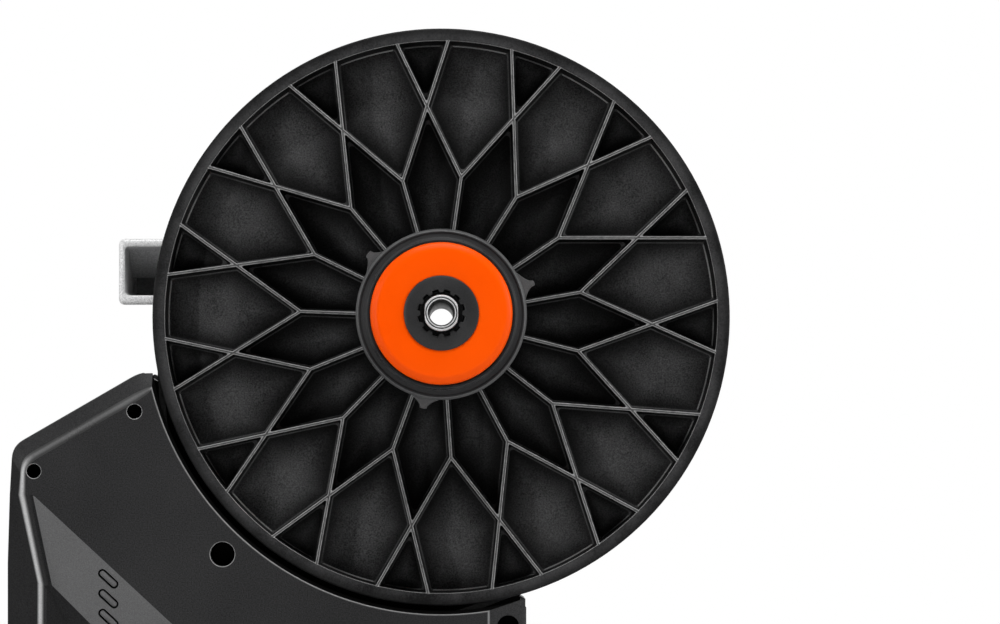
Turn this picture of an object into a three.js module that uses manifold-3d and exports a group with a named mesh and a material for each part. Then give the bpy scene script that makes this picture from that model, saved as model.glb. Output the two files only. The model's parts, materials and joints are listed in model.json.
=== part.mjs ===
// Direct drive bike trainer. Millimetres, X towards the bike's front, Y away from the
// drive side, Z up. The axle lies along Y over the modelling origin.
import * as THREE from 'three';
import { mergeVertices } from 'three/addons/utils/BufferGeometryUtils.js';
import Module from 'manifold-3d';

const wasm = await Module();
wasm.setup();

// Whole object
const axleHeight = 340;
const axleLength = 142;
const thruAxleDiameter = 12;
const fit = 0.3;
const overrun = 1;
const fineSides = 48;
const discSides = 24;
const ringSides = 20;
const smallSides = 12;

// Drive pulley, the large ribbed wheel
const beltSeatRadius = 144;
const flangeRise = 4.3;
const rimWall = 2.3;
const wheelRadius = beltSeatRadius + flangeRise;
const rimInnerRadius = beltSeatRadius - rimWall;
const wheelFront = -5;
const wheelBack = 21;
const flangeThickness = 3.6;
const webThickness = 5;
const webDish = 3;
const webDishRadius = 104;
const ribSink = 0.5;
const wheelHubRadius = 40;
const wheelHubFront = -14;
const ribThickness = 2.6;
const forkRadius = 72.5;
const ribOverlap = 1.2;
const forkCount = 15;
const forkPhase = THREE.MathUtils.degToRad(9.93);
const ribSpread = THREE.MathUtils.degToRad(17.3);

// Pulley hub and its bearings
const hubFront = -23.4;
const hubBack = 20;
const hubRadius = 24;
const hubFlangeRadius = 34;
const hubFlangeThickness = 4;
const hubFlangeFront = 0;
const hubWaistRadius = 13;
const bearingRadius = 16;
const bearingWidth = 8;
const bearingChamfer = 0.8;

// Axle
const axleRadius = 7.5;
const axleWallClearance = 0.1;
const axleCollarRadius = 15;
const axleShankRadius = 12;
const capWall = 4.7;
const capRadius = 9.15;
const capFlatHalf = 8.3;
const capFlatLength = 3.2;
const capMouthRadius = 7.1;
const capMouthDepth = 1.6;
const capSleeve = 8.8;
const farCapRadius = 10.5;
const nutAcrossFlats = 34;
const nutThickness = 7.2;

// Freehub, sprocket set and lockring
const freehubBack = -23.7;
const freehubFlangeThickness = 6.3;
const freehubFlangeRadius = 20.5;
const freehubFront = -66;
const splineTipRadius = 17.4;
const splineRootRadius = 16.2;
const splineCount = 9;
const splineToothShare = 0.56;
const freehubBearingRadius = 12.5;
const freehubBearingWidth = 7;
const freehubWaistRadius = 9;
const lockringFront = -69;
const lockringRadius = 18.8;
const lockringFlange = 2.5;
const lockringBarrelRadius = 13.8;
const lockringLength = 9.4;
const notchOuterRadius = 11.75;
const notchInnerRadius = 10.4;
const notchCount = 12;
const notchShare = 0.5;
const sprocketTeeth = 14;
const chainPitch = 12.7;
const rollerRadius = 3.95;
const sprocketThickness = 3;
const sprocketBack = -54;
const toothRise = 3.9;
const toothTipShare = 0.07;
const rollerWrap = THREE.MathUtils.degToRad(62);
const rollerWrapShares = [-1, -0.5, 0, 0.5, 1];
const guardFront = -52;
const guardSeat = 3;
const guardFace = -50;
const guardRadius = 43.2;
const guardLipRadius = 38.4;
const guardLipWidth = 1.2;
const guardBack = -42;
const guardWall = 1.8;
const lugRadius = 48;
const lugWidth = 9;
const lugThickness = 4;
const lugCount = 3;
const lugPhase = THREE.MathUtils.degToRad(16.3);
const platePlane = -66.2;
const plateRadius = 35.8;
const plateEdgePlane = -62.4;
const plateEdgeThickness = 3;
const plateHubRadius = 23;
const plateRound = 1.6;

// Casing outline, seen from the drive side
const casingGap = 4.2;
const casingLip = 6;
const casingFrontX = 43.7;
const casingRearX = 222;
const casingLift = 0.7;
const shoulderDrop = 29;
const shoulderFlat = 4.8;
const crownX = 216.7;
const crownDrop = 64.7;
const rearUpperX = 219.8;
const rearUpperDrop = 71.6;
const rearMiddleX = 221.1;
const rearMiddleDrop = 91.5;
const rearLowerDrop = 126;
const rearCorner = 22;
const frontCorner = 12;
const casingWall = 3;
const arcSteps = 12;
const cornerSteps = 3;
const edgeSteps = 2;

// Drive-side cover
const coverFace = -8;
const coverEdgePlane = -2;
const coverBevelTop = 6.6;
const coverBevelCrown = 5;
const coverBevelUpper = 5.2;
const coverBevelRear = 16.5;
const coverBevelFront = 19.4;
const coverBevelBottom = 9;
const coverBevelArc = 1.8;
const bevelKneeDrop = 137.3;
const facetX = 208.9;
const facetDrop = 91.5;
const facetWidth = 27.7;
const facetDepth = 4;
const facetAngle = THREE.MathUtils.degToRad(42.8);
const lensLength = 12;
const lensWidth = 4.8;
const lensDepth = 2.6;
const lensPitch = 10.2;
const lensX = 170.4;
const lensDrop = 134.4;
const lensSteps = 5;
const lensCount = 3;

// Frame plate and its seams
const plateFront = 25;
const plateThickness = 14;
const seam = 0.3;
const frameInset = 2;
const bossRadius = 30;
const bossTipRadius = 25;
const bossLength = 27;
const armFrontWidth = 26;
const armFootX = 110;
const shoulderX = 100;
const handleRise = 41.5;
const handleHeight = 34.4;
const shoulderRoot = 26;
const pocketDepth = 8;
const pocketRib = 8;
const footThickness = 7.5;
const footRearX = 190;
const footDriveY = 38;
const footFarY = 44;

// Carry handle
const handleRearX = 168;
const handleFront = 30;
const handleDepth = 56;
const handleWallTop = 4.2;
const handleWallSide = 3.3;
const handleWallBottom = 4.9;
const handleFloor = 4;
const handleCorner = 3;
const handleDraft = 1.6;
const handleShell = 7;
const handleTopShare = 0.37;
const handleLowShare = 0.79;
const handleRecess = 9;
const handleTabLength = 36;
const handleTabThickness = 20;
const handleTabMargin = 2;
const handleEndWall = 5;
const handleScrewRadius = 3;
const handleScrewHead = 5;
const handleScrewDepth = 9;

// Flywheel line
const flywheelX = 112;
const flywheelClearance = 6.5;
const flywheelRadius = 85;
const flywheelRimWidth = 24;
const flywheelFront = 45;
const flywheelThickness = 30;
const flywheelWeb = 8;
const flywheelChamfer = 1.5;
const flywheelHoleRadius = 8;
const flywheelHoleCircle = 40;
const flywheelHoleCount = 4;
const shaftRadius = 7.5;
const shaftFront = 0.4;
const shaftBeyond = 2.4;
const smallSeatRadius = 20;
const smallFlangeRise = 2.4;
const smallFlange = 1.2;
const smallPulleyFront = 0;
const smallPulleyBack = 18;
const tubeRadius = 24;
const tubeFront = 19;
const tubeLength = 38.6;
const tubeBearingRadius = 16;
const tubeWaistRadius = 12;
const brakeGap = 3;
const coreRadius = flywheelRadius - flywheelRimWidth - brakeGap;
const coreFront = 45.5;
const coreWidth = 17;
const coreFlange = 4;
const coreWaist = 32;
const coilInset = 4;
const coilRadius = coreRadius - coilInset;

// Belt and idler
const beltThickness = 3.2;
const beltWidth = 15;
const beltFront = 1.5;
const idlerRadius = 14;
const idlerStandoff = 45.95;
const idlerLead = THREE.MathUtils.degToRad(20.3);
const idlerFlange = 2;
const idlerWidth = 16.4;
const idlerBearingRadius = 9;
const idlerStudRadius = 4;
const idlerStudHead = 6;
const bracketThickness = 5;
const bracketWidth = 18;
const bracketReach = 34;
const boltRadius = 3;
const boltHead = 5;
const boltHeadHeight = 3.4;
const boltDepth = 9;
const beltChordSag = 0.2;

// Electronics
const boardRearX = 211;
const boardWidth = 48;
const boardBottom = 92;
const boardHeight = 92;
const boardThickness = 1.6;
const boardStandoff = 2.4;
const boardMargin = 5;
const standoffRadius = 3.4;
const standoffSides = 8;
const chipSize = 12;
const chipHeight = 1.8;
const sensorWidth = 16;
const sensorHeight = 10;
const sensorThickness = 4;
const sensorRise = 62;
const inletRadius = 6;
const inletBoreRadius = 2.9;
const inletFlangeRadius = 8.5;
const inletFlange = 1.6;
const inletLength = 12;
const inletBoreDepth = 9;
const inletY = 60;
const inletZ = 92;
const inletPinRadius = 0.9;

// Far-side cover
const farCoverDepth = 41;
const farBevel = 8;
const bulgeRadius = 80;
const bulgeHeight = 5;
const ventCount = 12;
const ventInner = 34;
const ventOuter = 66;
const ventWidth = 4;

// Cover screws
const crownScrew = { inset: 8.1, drop: 14.6, radius: 3.7 };
const shoulderScrew = { margin: 12.1, angle: THREE.MathUtils.degToRad(197.25), radius: 3.8 };
const middleScrew = { margin: 13, angle: THREE.MathUtils.degToRad(227.4), radius: 6.3 };
const frontScrew = { margin: 10, inset: 9.4, radius: 5.6 };
const screwBossWall = 2.2;
const screwSeatPlane = 12;
const screwHeadHeight = 4;
const screwHeadClearance = 0.5;
const screwShankRadius = 1.8;
const screwShankDepth = 8;

// Base
const beamWidth = 80;
const beamHeight = 30;
const beamBottom = 22;
const beamWall = 3;
const beamRear = 224.3;
const beamFront = 262;
const crossbarWidth = 40;
const crossbarHalf = 130;
const plugFlange = 4;
const plugSpigot = 12;
const plugRound = 4;
const padLength = 44;
const padWidth = 36;
const padTaperShare = 0.86;
const padCentre = 104;
const padFoot = 5;

// Rear hinge bracket, legs, knobs and levelling feet
const hingeX = 248;
const hingeY = 62;
const bracketPlate = 5;
const bracketBottom = 18;
const bracketTop = 52;
const bracketHalf = 44;
const bracketWebHalf = 38;
const bracketRearX = 262;
const knuckleRadius = 20;
const hingePinRadius = 6;
const hingePinHead = 9;
const hingePinHeadHeight = 3;
const legLength = 240;
const legTipRadius = 17;
const legBevel = 2;
const legWall = 4;
const legDeployed = THREE.MathUtils.degToRad(105);
const footStudRadius = 5;
const footPadRadius = 21;
const footPadHeight = 8;
const footNeckRadius = 11;
const footShoulder = 3;
const knobRadius = 17;
const knobHeight = 22;
const knobLobes = 6;
const knobLobeSteps = 4;
const knobLobeDepth = 2.4;
const knobSkirt = 5;
const knobRound = 2;

const colours = {
  blackPlastic: [0x1c1d1f, 0.55, 0],
  coverPlastic: [0x303134, 0.5, 0],
  orangePlastic: [0xff5000, 0.4, 0],
  guardPlastic: [0x26272a, 0.5, 0],
  silverPaint: [0x9da0a3, 0.45, 0.6],
  steel: [0xa9acb0, 0.3, 1],
  darkSteel: [0x5b5e62, 0.4, 1],
  aluminium: [0xb9bcc0, 0.35, 1],
  rubber: [0x161616, 0.85, 0],
  board: [0x1d5b34, 0.6, 0],
  copper: [0xb0622c, 0.4, 1],
  lens: [0x8a8c8e, 0.25, 0],
};

// Solids from three.js geometry and back
function solidOf(geometry) {
  const bare = geometry.index ? geometry.toNonIndexed() : geometry.clone();
  bare.deleteAttribute('normal');
  bare.deleteAttribute('uv');
  const merged = mergeVertices(bare);
  const index = merged.index.array;
  const kept = [];
  for (let i = 0; i < index.length; i += 3) {
    const [a, b, c] = [index[i], index[i + 1], index[i + 2]];
    if (a !== b && b !== c && c !== a) kept.push(a, b, c);
  }
  const mesh = new wasm.Mesh({
    numProp: 3,
    vertProperties: new Float32Array(merged.attributes.position.array),
    triVerts: new Uint32Array(kept),
  });
  return new wasm.Manifold(mesh);
}

function geometryOf(solid) {
  const mesh = solid.getMesh();
  const geometry = new THREE.BufferGeometry();
  const stride = mesh.numProp;
  const positions = new Float32Array((mesh.vertProperties.length / stride) * 3);
  for (let i = 0; i < positions.length / 3; i += 1) {
    for (let k = 0; k < 3; k += 1) positions[i * 3 + k] = mesh.vertProperties[i * stride + k];
  }
  geometry.setAttribute('position', new THREE.BufferAttribute(positions, 3));
  geometry.setIndex(Array.from(mesh.triVerts));
  geometry.computeVertexNormals();
  return geometry;
}

function cut(body, ...tools) {
  return geometryOf(tools.reduce((left, tool) => left.subtract(solidOf(tool)), solidOf(body)));
}

function join(body, ...others) {
  return geometryOf(others.reduce((whole, other) => whole.add(solidOf(other)), solidOf(body)));
}

function addMesh(parent, name, geometry, finish) {
  const [color, roughness, metalness] = colours[finish];
  const mesh = new THREE.Mesh(geometry, new THREE.MeshStandardMaterial({ color, roughness, metalness }));
  mesh.name = name;
  parent.add(mesh);
  return mesh;
}

// Outlines
const point = (x, y) => new THREE.Vector2(x, y);

function arcPoints(x, z, radius, start, end, steps) {
  const points = [];
  for (let k = 0; k <= steps; k += 1) {
    const angle = start + ((end - start) * k) / steps;
    points.push(point(x + radius * Math.cos(angle), z + radius * Math.sin(angle)));
  }
  return points;
}

function circlePath(x, z, radius, sides) {
  return arcPoints(x, z, radius, 0, 2 * Math.PI, sides).slice(0, sides);
}

function insetOutline(points, distance) {
  const turn = Math.sign(THREE.ShapeUtils.area(points));
  const edge = (a, b) => b.clone().sub(a).normalize();
  return points.map((here, i) => {
    const before = points[(i + points.length - 1) % points.length];
    const after = points[(i + 1) % points.length];
    const first = edge(before, here);
    const second = edge(here, after);
    const normal = point(-first.y - second.y, first.x + second.x).multiplyScalar(turn);
    const reach = distance / (0.5 * normal.lengthSq());
    return here.clone().addScaledVector(normal, reach);
  });
}

// Prism of an outline in the X and Z plane, between two Y planes
function prismY(outline, front, back, holes = []) {
  const shape = new THREE.Shape(outline);
  for (const hole of holes) shape.holes.push(new THREE.Path(hole));
  const geometry = new THREE.ExtrudeGeometry(shape, { depth: back - front, bevelEnabled: false });
  geometry.rotateX(Math.PI / 2);
  geometry.translate(0, back, 0);
  return geometry;
}

// Prism of an outline in the X and Y plane, between two heights
function prismZ(outline, bottom, top, holes = []) {
  const shape = new THREE.Shape(outline);
  for (const hole of holes) shape.holes.push(new THREE.Path(hole));
  const geometry = new THREE.ExtrudeGeometry(shape, { depth: top - bottom, bevelEnabled: false });
  geometry.translate(0, 0, bottom);
  return geometry;
}

// Ring turned about the Y axis from closed (radius, y) pairs
function turned(pairs, sides) {
  const points = pairs.map(([radius, y]) => point(radius, y));
  const onAxis = points.some((p) => p.x === 0);
  if (THREE.ShapeUtils.area(points) < 0) points.reverse();
  if (onAxis) {
    while (points[0].x !== 0 || points[points.length - 1].x !== 0) points.push(points.shift());
  } else {
    points.push(points[0].clone());
  }
  return new THREE.LatheGeometry(points, sides);
}

function tube(inner, outer, front, back, sides) {
  return turned([[inner, front], [outer, front], [outer, back], [inner, back]], sides);
}

function rod(radius, front, back, sides = smallSides) {
  return turned([[0, front], [radius, front], [radius, back], [0, back]], sides);
}

// Skin through sections that have the same number of points, capped at both ends
function loft(sections) {
  const count = sections[0].length;
  const last = (sections.length - 1) * count;
  const flat = (section) => section.map((p) => point(p.x, p.z));
  const rises = sections[sections.length - 1][0].y > sections[0][0].y;
  const inward = (THREE.ShapeUtils.area(flat(sections[0])) > 0) === rises;
  const index = [];
  for (let s = 0; s < sections.length - 1; s += 1) {
    for (let k = 0; k < count; k += 1) {
      const [a, b] = [s * count + k, s * count + ((k + 1) % count)];
      const [c, d] = [a + count, b + count];
      index.push(...(inward ? [a, d, b, a, c, d] : [a, b, d, a, d, c]));
    }
  }
  const cap = (section, start, facesFar) => {
    const outline = flat(section);
    for (const [a, b, c] of THREE.ShapeUtils.triangulateShape(outline, [])) {
      const left = THREE.ShapeUtils.area([outline[a], outline[b], outline[c]]) > 0;
      const corners = left === facesFar ? [a, c, b] : [a, b, c];
      index.push(...corners.map((corner) => corner + start));
    }
  };
  cap(sections[0], 0, !rises);
  cap(sections[sections.length - 1], last, rises);
  const geometry = new THREE.BufferGeometry();
  const positions = sections.flat().flatMap((p) => [p.x, p.y, p.z]);
  geometry.setAttribute('position', new THREE.Float32BufferAttribute(positions, 3));
  geometry.setIndex(index);
  return geometry;
}

const sectionAt = (outline, y) => outline.map((p) => new THREE.Vector3(p.x, y, p.y));
const levelAt = (outline, z) => outline.map((p) => new THREE.Vector3(p.x, z, -p.y));

function boxBetween(low, high) {
  const size = high.map((value, i) => value - low[i]);
  const geometry = new THREE.BoxGeometry(...size);
  geometry.translate(...low.map((value, i) => value + size[i] / 2));
  return geometry;
}

// Heights that follow from the base below and from the axle above
const beamTop = beamBottom + beamHeight;
const footTop = beamTop + fit + footThickness;
const casingBottom = footTop + casingLift;
const flywheelZ = casingBottom + casingWall + flywheelClearance + flywheelRadius;
const crownZ = axleHeight - crownDrop;
const rearMiddleZ = axleHeight - rearMiddleDrop;
const handleTop = axleHeight + handleRise;
const handleBottom = handleTop - handleHeight;

// Scene graph: the axle's line, the flywheel's line and the parts that stand on the floor
const trainer = new THREE.Group();
const hubLine = new THREE.Group();
hubLine.position.z = axleHeight;
const flywheelLine = new THREE.Group();
flywheelLine.position.set(-flywheelX, 0, flywheelZ);
trainer.add(hubLine, flywheelLine);

// Axle, end caps and nut
const axleEnd = axleLength / 2;
const boreRadius = thruAxleDiameter / 2 + axleWallClearance;
const axleTip = axleEnd - capWall - fit;
const plateBack = plateFront + plateThickness;
const bossBack = plateFront + bossLength;
const nutFront = bossBack + fit;
const nutBack = nutFront + nutThickness;
addMesh(hubLine, 'axle', turned([
  [boreRadius, -axleTip],
  [axleRadius, -axleTip],
  [axleRadius, hubBack + fit],
  [axleCollarRadius, hubBack + fit],
  [axleCollarRadius, plateFront - fit],
  [axleShankRadius, plateFront - fit],
  [axleShankRadius, nutBack + fit],
  [axleRadius, nutBack + fit],
  [axleRadius, axleTip],
  [boreRadius, axleTip],
], ringSides), 'steel');

function endCap(radius, sleeve) {
  const socket = axleRadius + fit;
  const inner = axleEnd - capWall;
  const body = turned([
    [capMouthRadius, -axleEnd],
    [radius - fit, -axleEnd],
    [radius, -axleEnd + fit],
    [radius, -inner + sleeve],
    [socket, -inner + sleeve],
    [socket, -inner],
    [boreRadius, -inner],
    [boreRadius, -axleEnd + capMouthDepth],
  ], ringSides);
  const flats = [-1, 1].map((side) => {
    const slab = new THREE.BoxGeometry(radius, 2 * capFlatLength, 2 * (radius + overrun));
    slab.translate(side * (capFlatHalf + radius / 2), -axleEnd, 0);
    return slab;
  });
  return cut(body, ...flats);
}

addMesh(hubLine, 'axle_end_cap_drive', endCap(capRadius, capSleeve), 'steel');
const farSleeve = axleEnd - capWall - nutBack - 2 * fit;
addMesh(hubLine, 'axle_end_cap_far', endCap(farCapRadius, farSleeve), 'steel').rotation.z = Math.PI;
const nutOutline = circlePath(0, 0, nutAcrossFlats / 2 / Math.cos(Math.PI / 6), 6);
const nutHole = circlePath(0, 0, axleShankRadius + fit, ringSides);
addMesh(hubLine, 'axle_nut', prismY(nutOutline, nutFront, nutBack, [nutHole]), 'darkSteel');

// Every bearing is a ring with one chamfered outer corner to lead it into its seat
function bearing(inner, outer, front, back) {
  return turned([
    [inner, front],
    [outer - bearingChamfer, front],
    [outer, front + bearingChamfer],
    [outer, back],
    [inner, back],
  ], smallSides);
}

const bearingBore = axleRadius + fit;
addMesh(hubLine, 'pulley_bearing_front',
  bearing(bearingBore, bearingRadius, hubFront + fit, hubFront + fit + bearingWidth), 'darkSteel');
addMesh(hubLine, 'pulley_bearing_rear',
  bearing(bearingBore, bearingRadius, hubBack - fit - bearingWidth, hubBack - fit), 'darkSteel');

// Aluminium hub that carries the moulded wheel on a flange
const bearingSeat = bearingRadius + fit;
addMesh(hubLine, 'pulley_hub', turned([
  [bearingSeat, hubFront],
  [hubRadius, hubFront],
  [hubRadius, hubFlangeFront],
  [hubFlangeRadius, hubFlangeFront],
  [hubFlangeRadius, hubFlangeFront + hubFlangeThickness],
  [hubRadius, hubFlangeFront + hubFlangeThickness],
  [hubRadius, hubBack],
  [bearingSeat, hubBack],
  [bearingSeat, hubBack - bearingWidth - 2 * fit],
  [hubWaistRadius, hubBack - bearingWidth - 2 * fit],
  [hubWaistRadius, hubFront + bearingWidth + 2 * fit],
  [bearingSeat, hubFront + bearingWidth + 2 * fit],
], ringSides), 'aluminium');

// Drive pulley: rim with belt seat, dished web, hub ring and the star of ribs
const webFront = wheelBack - webThickness;
const wheelShell = turned([
  [hubRadius + fit, wheelHubFront],
  [wheelHubRadius, wheelHubFront],
  [wheelHubRadius, webFront],
  [rimInnerRadius, webFront],
  [rimInnerRadius, wheelFront],
  [wheelRadius, wheelFront],
  [wheelRadius, wheelFront + flangeThickness],
  [beltSeatRadius, wheelFront + flangeThickness],
  [beltSeatRadius, wheelBack - flangeThickness],
  [wheelRadius, wheelBack - flangeThickness],
  [wheelRadius, wheelBack],
  [webDishRadius, wheelBack - webDish],
  [wheelHubRadius, wheelBack],
  [hubRadius + fit, wheelBack],
  [hubRadius + fit, hubFlangeFront + hubFlangeThickness + fit],
  [hubFlangeRadius + fit, hubFlangeFront + hubFlangeThickness + fit],
  [hubFlangeRadius + fit, hubFlangeFront - fit],
  [hubRadius + fit, hubFlangeFront - fit],
], fineSides);

function rib(from, to) {
  const along = to.clone().sub(from);
  const side = point(-along.y, along.x).setLength(ribThickness / 2);
  const stretch = along.clone().setLength(ribOverlap);
  const start = from.clone().sub(stretch);
  const end = to.clone().add(stretch);
  const outline = [
    start.clone().add(side),
    start.clone().sub(side),
    end.clone().sub(side),
    end.clone().add(side),
  ];
  return prismY(outline, wheelFront, webFront + ribSink);
}

const polar = (radius, angle) => point(radius * Math.cos(angle), radius * Math.sin(angle));
const ribs = [];
for (let k = 0; k < forkCount; k += 1) {
  const angle = forkPhase + (2 * Math.PI * k) / forkCount;
  const fork = polar(forkRadius, angle);
  ribs.push(rib(polar(wheelHubRadius, angle), fork));
  for (const side of [-1, 1]) ribs.push(rib(fork, polar(rimInnerRadius, angle + side * ribSpread)));
}
addMesh(hubLine, 'drive_pulley', join(wheelShell, ...ribs), 'blackPlastic');

// Freehub body: splined barrel, inner flange, bearing seats and the lockring's mouth
function splineOutline(clearance) {
  const points = [];
  for (let k = 0; k < splineCount; k += 1) {
    const pitch = (2 * Math.PI) / splineCount;
    const half = (pitch * splineToothShare) / 2;
    const middle = k * pitch;
    points.push(polar(splineRootRadius + clearance, middle - pitch / 2));
    points.push(polar(splineRootRadius + clearance, middle - half));
    points.push(polar(splineTipRadius + clearance, middle - half));
    points.push(polar(splineTipRadius + clearance, middle));
    points.push(polar(splineTipRadius + clearance, middle + half));
    points.push(polar(splineRootRadius + clearance, middle + half));
  }
  return points;
}

const flangeFront = freehubBack - freehubFlangeThickness;
const lockringBack = lockringFront + lockringLength;
const capBack = -(axleEnd - capWall) + capSleeve;
const outerBearingFront = capBack + fit;
const innerBearingBack = freehubBack - fit;
const innerBearingFront = innerBearingBack - freehubBearingWidth;
const freehubSeat = freehubBearingRadius + fit;
const freehubBore = turned([
  [0, freehubFront - overrun],
  [lockringBarrelRadius + fit, freehubFront - overrun],
  [lockringBarrelRadius + fit, lockringBack + fit],
  [freehubSeat, lockringBack + fit],
  [freehubSeat, outerBearingFront + freehubBearingWidth + fit],
  [freehubWaistRadius, outerBearingFront + freehubBearingWidth + fit],
  [freehubWaistRadius, innerBearingFront - fit],
  [freehubSeat, innerBearingFront - fit],
  [freehubSeat, freehubBack + overrun],
  [0, freehubBack + overrun],
], ringSides);
const freehubBarrel = prismY(splineOutline(0), freehubFront, freehubBack - fit);
const freehubFlange = rod(freehubFlangeRadius, flangeFront, freehubBack, ringSides);
addMesh(hubLine, 'freehub_body', cut(join(freehubBarrel, freehubFlange), freehubBore), 'aluminium');
addMesh(hubLine, 'freehub_bearing_outer', bearing(bearingBore, freehubBearingRadius,
  outerBearingFront, outerBearingFront + freehubBearingWidth), 'darkSteel');
addMesh(hubLine, 'freehub_bearing_inner', bearing(bearingBore, freehubBearingRadius,
  innerBearingFront, innerBearingBack), 'darkSteel');

// Sprocket: roller seats between pointed teeth, on a boss that spaces it from the guard
const pitchRadius = chainPitch / 2 / Math.sin(Math.PI / sprocketTeeth);
const tipRadius = pitchRadius + toothRise;
function sprocketOutline() {
  const points = [];
  const pitch = (2 * Math.PI) / sprocketTeeth;
  for (let k = 0; k < sprocketTeeth; k += 1) {
    const middle = k * pitch;
    const centre = polar(pitchRadius, middle);
    for (const share of rollerWrapShares) {
      points.push(centre.clone().add(polar(rollerRadius, middle + Math.PI - share * rollerWrap)));
    }
    points.push(polar(tipRadius, middle + pitch * (0.5 - toothTipShare)));
    points.push(polar(tipRadius, middle + pitch * (0.5 + toothTipShare)));
  }
  return points;
}
const sprocketFront = sprocketBack - sprocketThickness;
const sprocketDisc = prismY(sprocketOutline(), sprocketFront, sprocketBack);
const sprocketBoss = rod(plateHubRadius, sprocketBack - fit, guardFace - fit, ringSides);
const splineBore = prismY(splineOutline(fit), freehubFront - overrun, flangeFront);
addMesh(hubLine, 'sprocket_14t', cut(join(sprocketDisc, sprocketBoss), splineBore), 'steel');

// Outer plate: dished disc with a rolled edge, seated on the sprocket
const plateShell = turned([
  [freehubWaistRadius, platePlane],
  [lockringRadius + fit, platePlane],
  [plateRadius - 2 * plateRound, platePlane + plateRound],
  [plateRadius - plateRound / 2, plateEdgePlane - plateRound / 2],
  [plateRadius, plateEdgePlane + plateRound / 2],
  [plateRadius, plateEdgePlane + plateEdgeThickness],
  [plateHubRadius, plateEdgePlane + plateEdgeThickness],
  [plateHubRadius, sprocketFront - fit],
  [freehubWaistRadius, sprocketFront - fit],
], discSides);
addMesh(hubLine, 'sprocket_outer_plate', cut(plateShell, splineBore), 'orangePlastic');

// Inner guard: dished ring with a raised lip and three hooked lugs
const guardShell = turned([
  [freehubWaistRadius, guardFace],
  [guardLipRadius - 2 * guardLipWidth, guardFace],
  [guardLipRadius - guardLipWidth, guardFront],
  [guardLipRadius, guardFront],
  [guardLipRadius + guardLipWidth, guardFace + guardWall],
  [guardRadius, guardFace + 2 * guardWall],
  [guardRadius, guardBack],
  [guardRadius - guardWall, guardBack],
  [guardRadius - guardWall, guardBack - guardSeat],
  [guardLipRadius, guardFace + guardSeat],
  [freehubWaistRadius, guardFace + guardSeat],
], discSides);

function hookedLug(angle) {
  const root = guardRadius - guardWall;
  const half = lugWidth / 2;
  const outline = [
    point(root, -half),
    point(guardRadius + guardWall / 2, -half / 2),
    point(lugRadius - guardWall, -half / 2),
    point(lugRadius, 0),
    point(lugRadius - guardWall / 2, half / 3),
    point(guardRadius + guardWall, half / 4),
    point(guardRadius + guardWall / 2, half),
    point(root, half + guardWall),
  ];
  const turn = outline.map((p) => p.clone().rotateAround(point(0, 0), angle));
  return prismY(turn, guardBack - lugThickness, guardBack);
}
const lugs = [];
for (let k = 0; k < lugCount; k += 1) lugs.push(hookedLug(lugPhase + (2 * Math.PI * k) / lugCount));
addMesh(hubLine, 'sprocket_inner_guard', cut(join(guardShell, ...lugs), splineBore), 'guardPlastic');

// Spacer between guard and freehub flange
addMesh(hubLine, 'freehub_spacer', tube(splineTipRadius + fit, freehubFlangeRadius,
  guardFace + guardSeat + fit, flangeFront - fit, ringSides), 'aluminium');

// Lockring: flange, threaded barrel and the notched mouth for its tool
const notches = [];
for (let k = 0; k < notchCount; k += 1) {
  const pitch = (2 * Math.PI) / notchCount;
  const start = (k - notchShare / 2) * pitch;
  const end = (k + notchShare / 2) * pitch;
  const outer = arcPoints(0, 0, notchOuterRadius, start, end, 2);
  const inner = arcPoints(0, 0, notchInnerRadius, end, start + pitch, 1);
  notches.push(...outer, ...inner);
}
const lockringBody = turned([
  [0, lockringFront],
  [lockringRadius - fit, lockringFront],
  [lockringRadius, lockringFront + fit],
  [lockringRadius, lockringFront + lockringFlange],
  [lockringBarrelRadius, lockringFront + lockringFlange],
  [lockringBarrelRadius, lockringBack],
  [0, lockringBack],
], discSides);
const notchTool = prismY(notches, lockringFront - overrun, lockringBack + overrun);
addMesh(hubLine, 'lockring', cut(lockringBody, notchTool), 'guardPlastic');

// Casing outline: the wheel's arc, then the front, bottom, rear and sloping top edges
const arcRadius = wheelRadius + casingGap;
const arcStart = Math.PI + Math.asin(shoulderDrop / arcRadius);
const arcEnd = 2 * Math.PI - Math.acos(casingFrontX / arcRadius);

function casingEdge() {
  return [
    ...arcPoints(-casingRearX + rearCorner, casingBottom + rearCorner, rearCorner,
      -Math.PI / 2, -Math.PI, cornerSteps),
    point(-casingRearX, axleHeight - rearLowerDrop),
    point(-rearMiddleX, rearMiddleZ),
    point(-rearUpperX, axleHeight - rearUpperDrop),
    point(-crownX, crownZ),
    point(-arcRadius * Math.cos(arcStart - Math.PI) - shoulderFlat, axleHeight - shoulderDrop),
  ];
}

function frontEdge() {
  return arcPoints(casingFrontX - frontCorner, casingBottom + frontCorner, frontCorner,
    0, -Math.PI / 2, cornerSteps);
}

const coverOutline = [
  ...arcPoints(0, axleHeight, arcRadius, arcStart, arcEnd, arcSteps),
  ...frontEdge(),
  ...casingEdge(),
];

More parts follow.
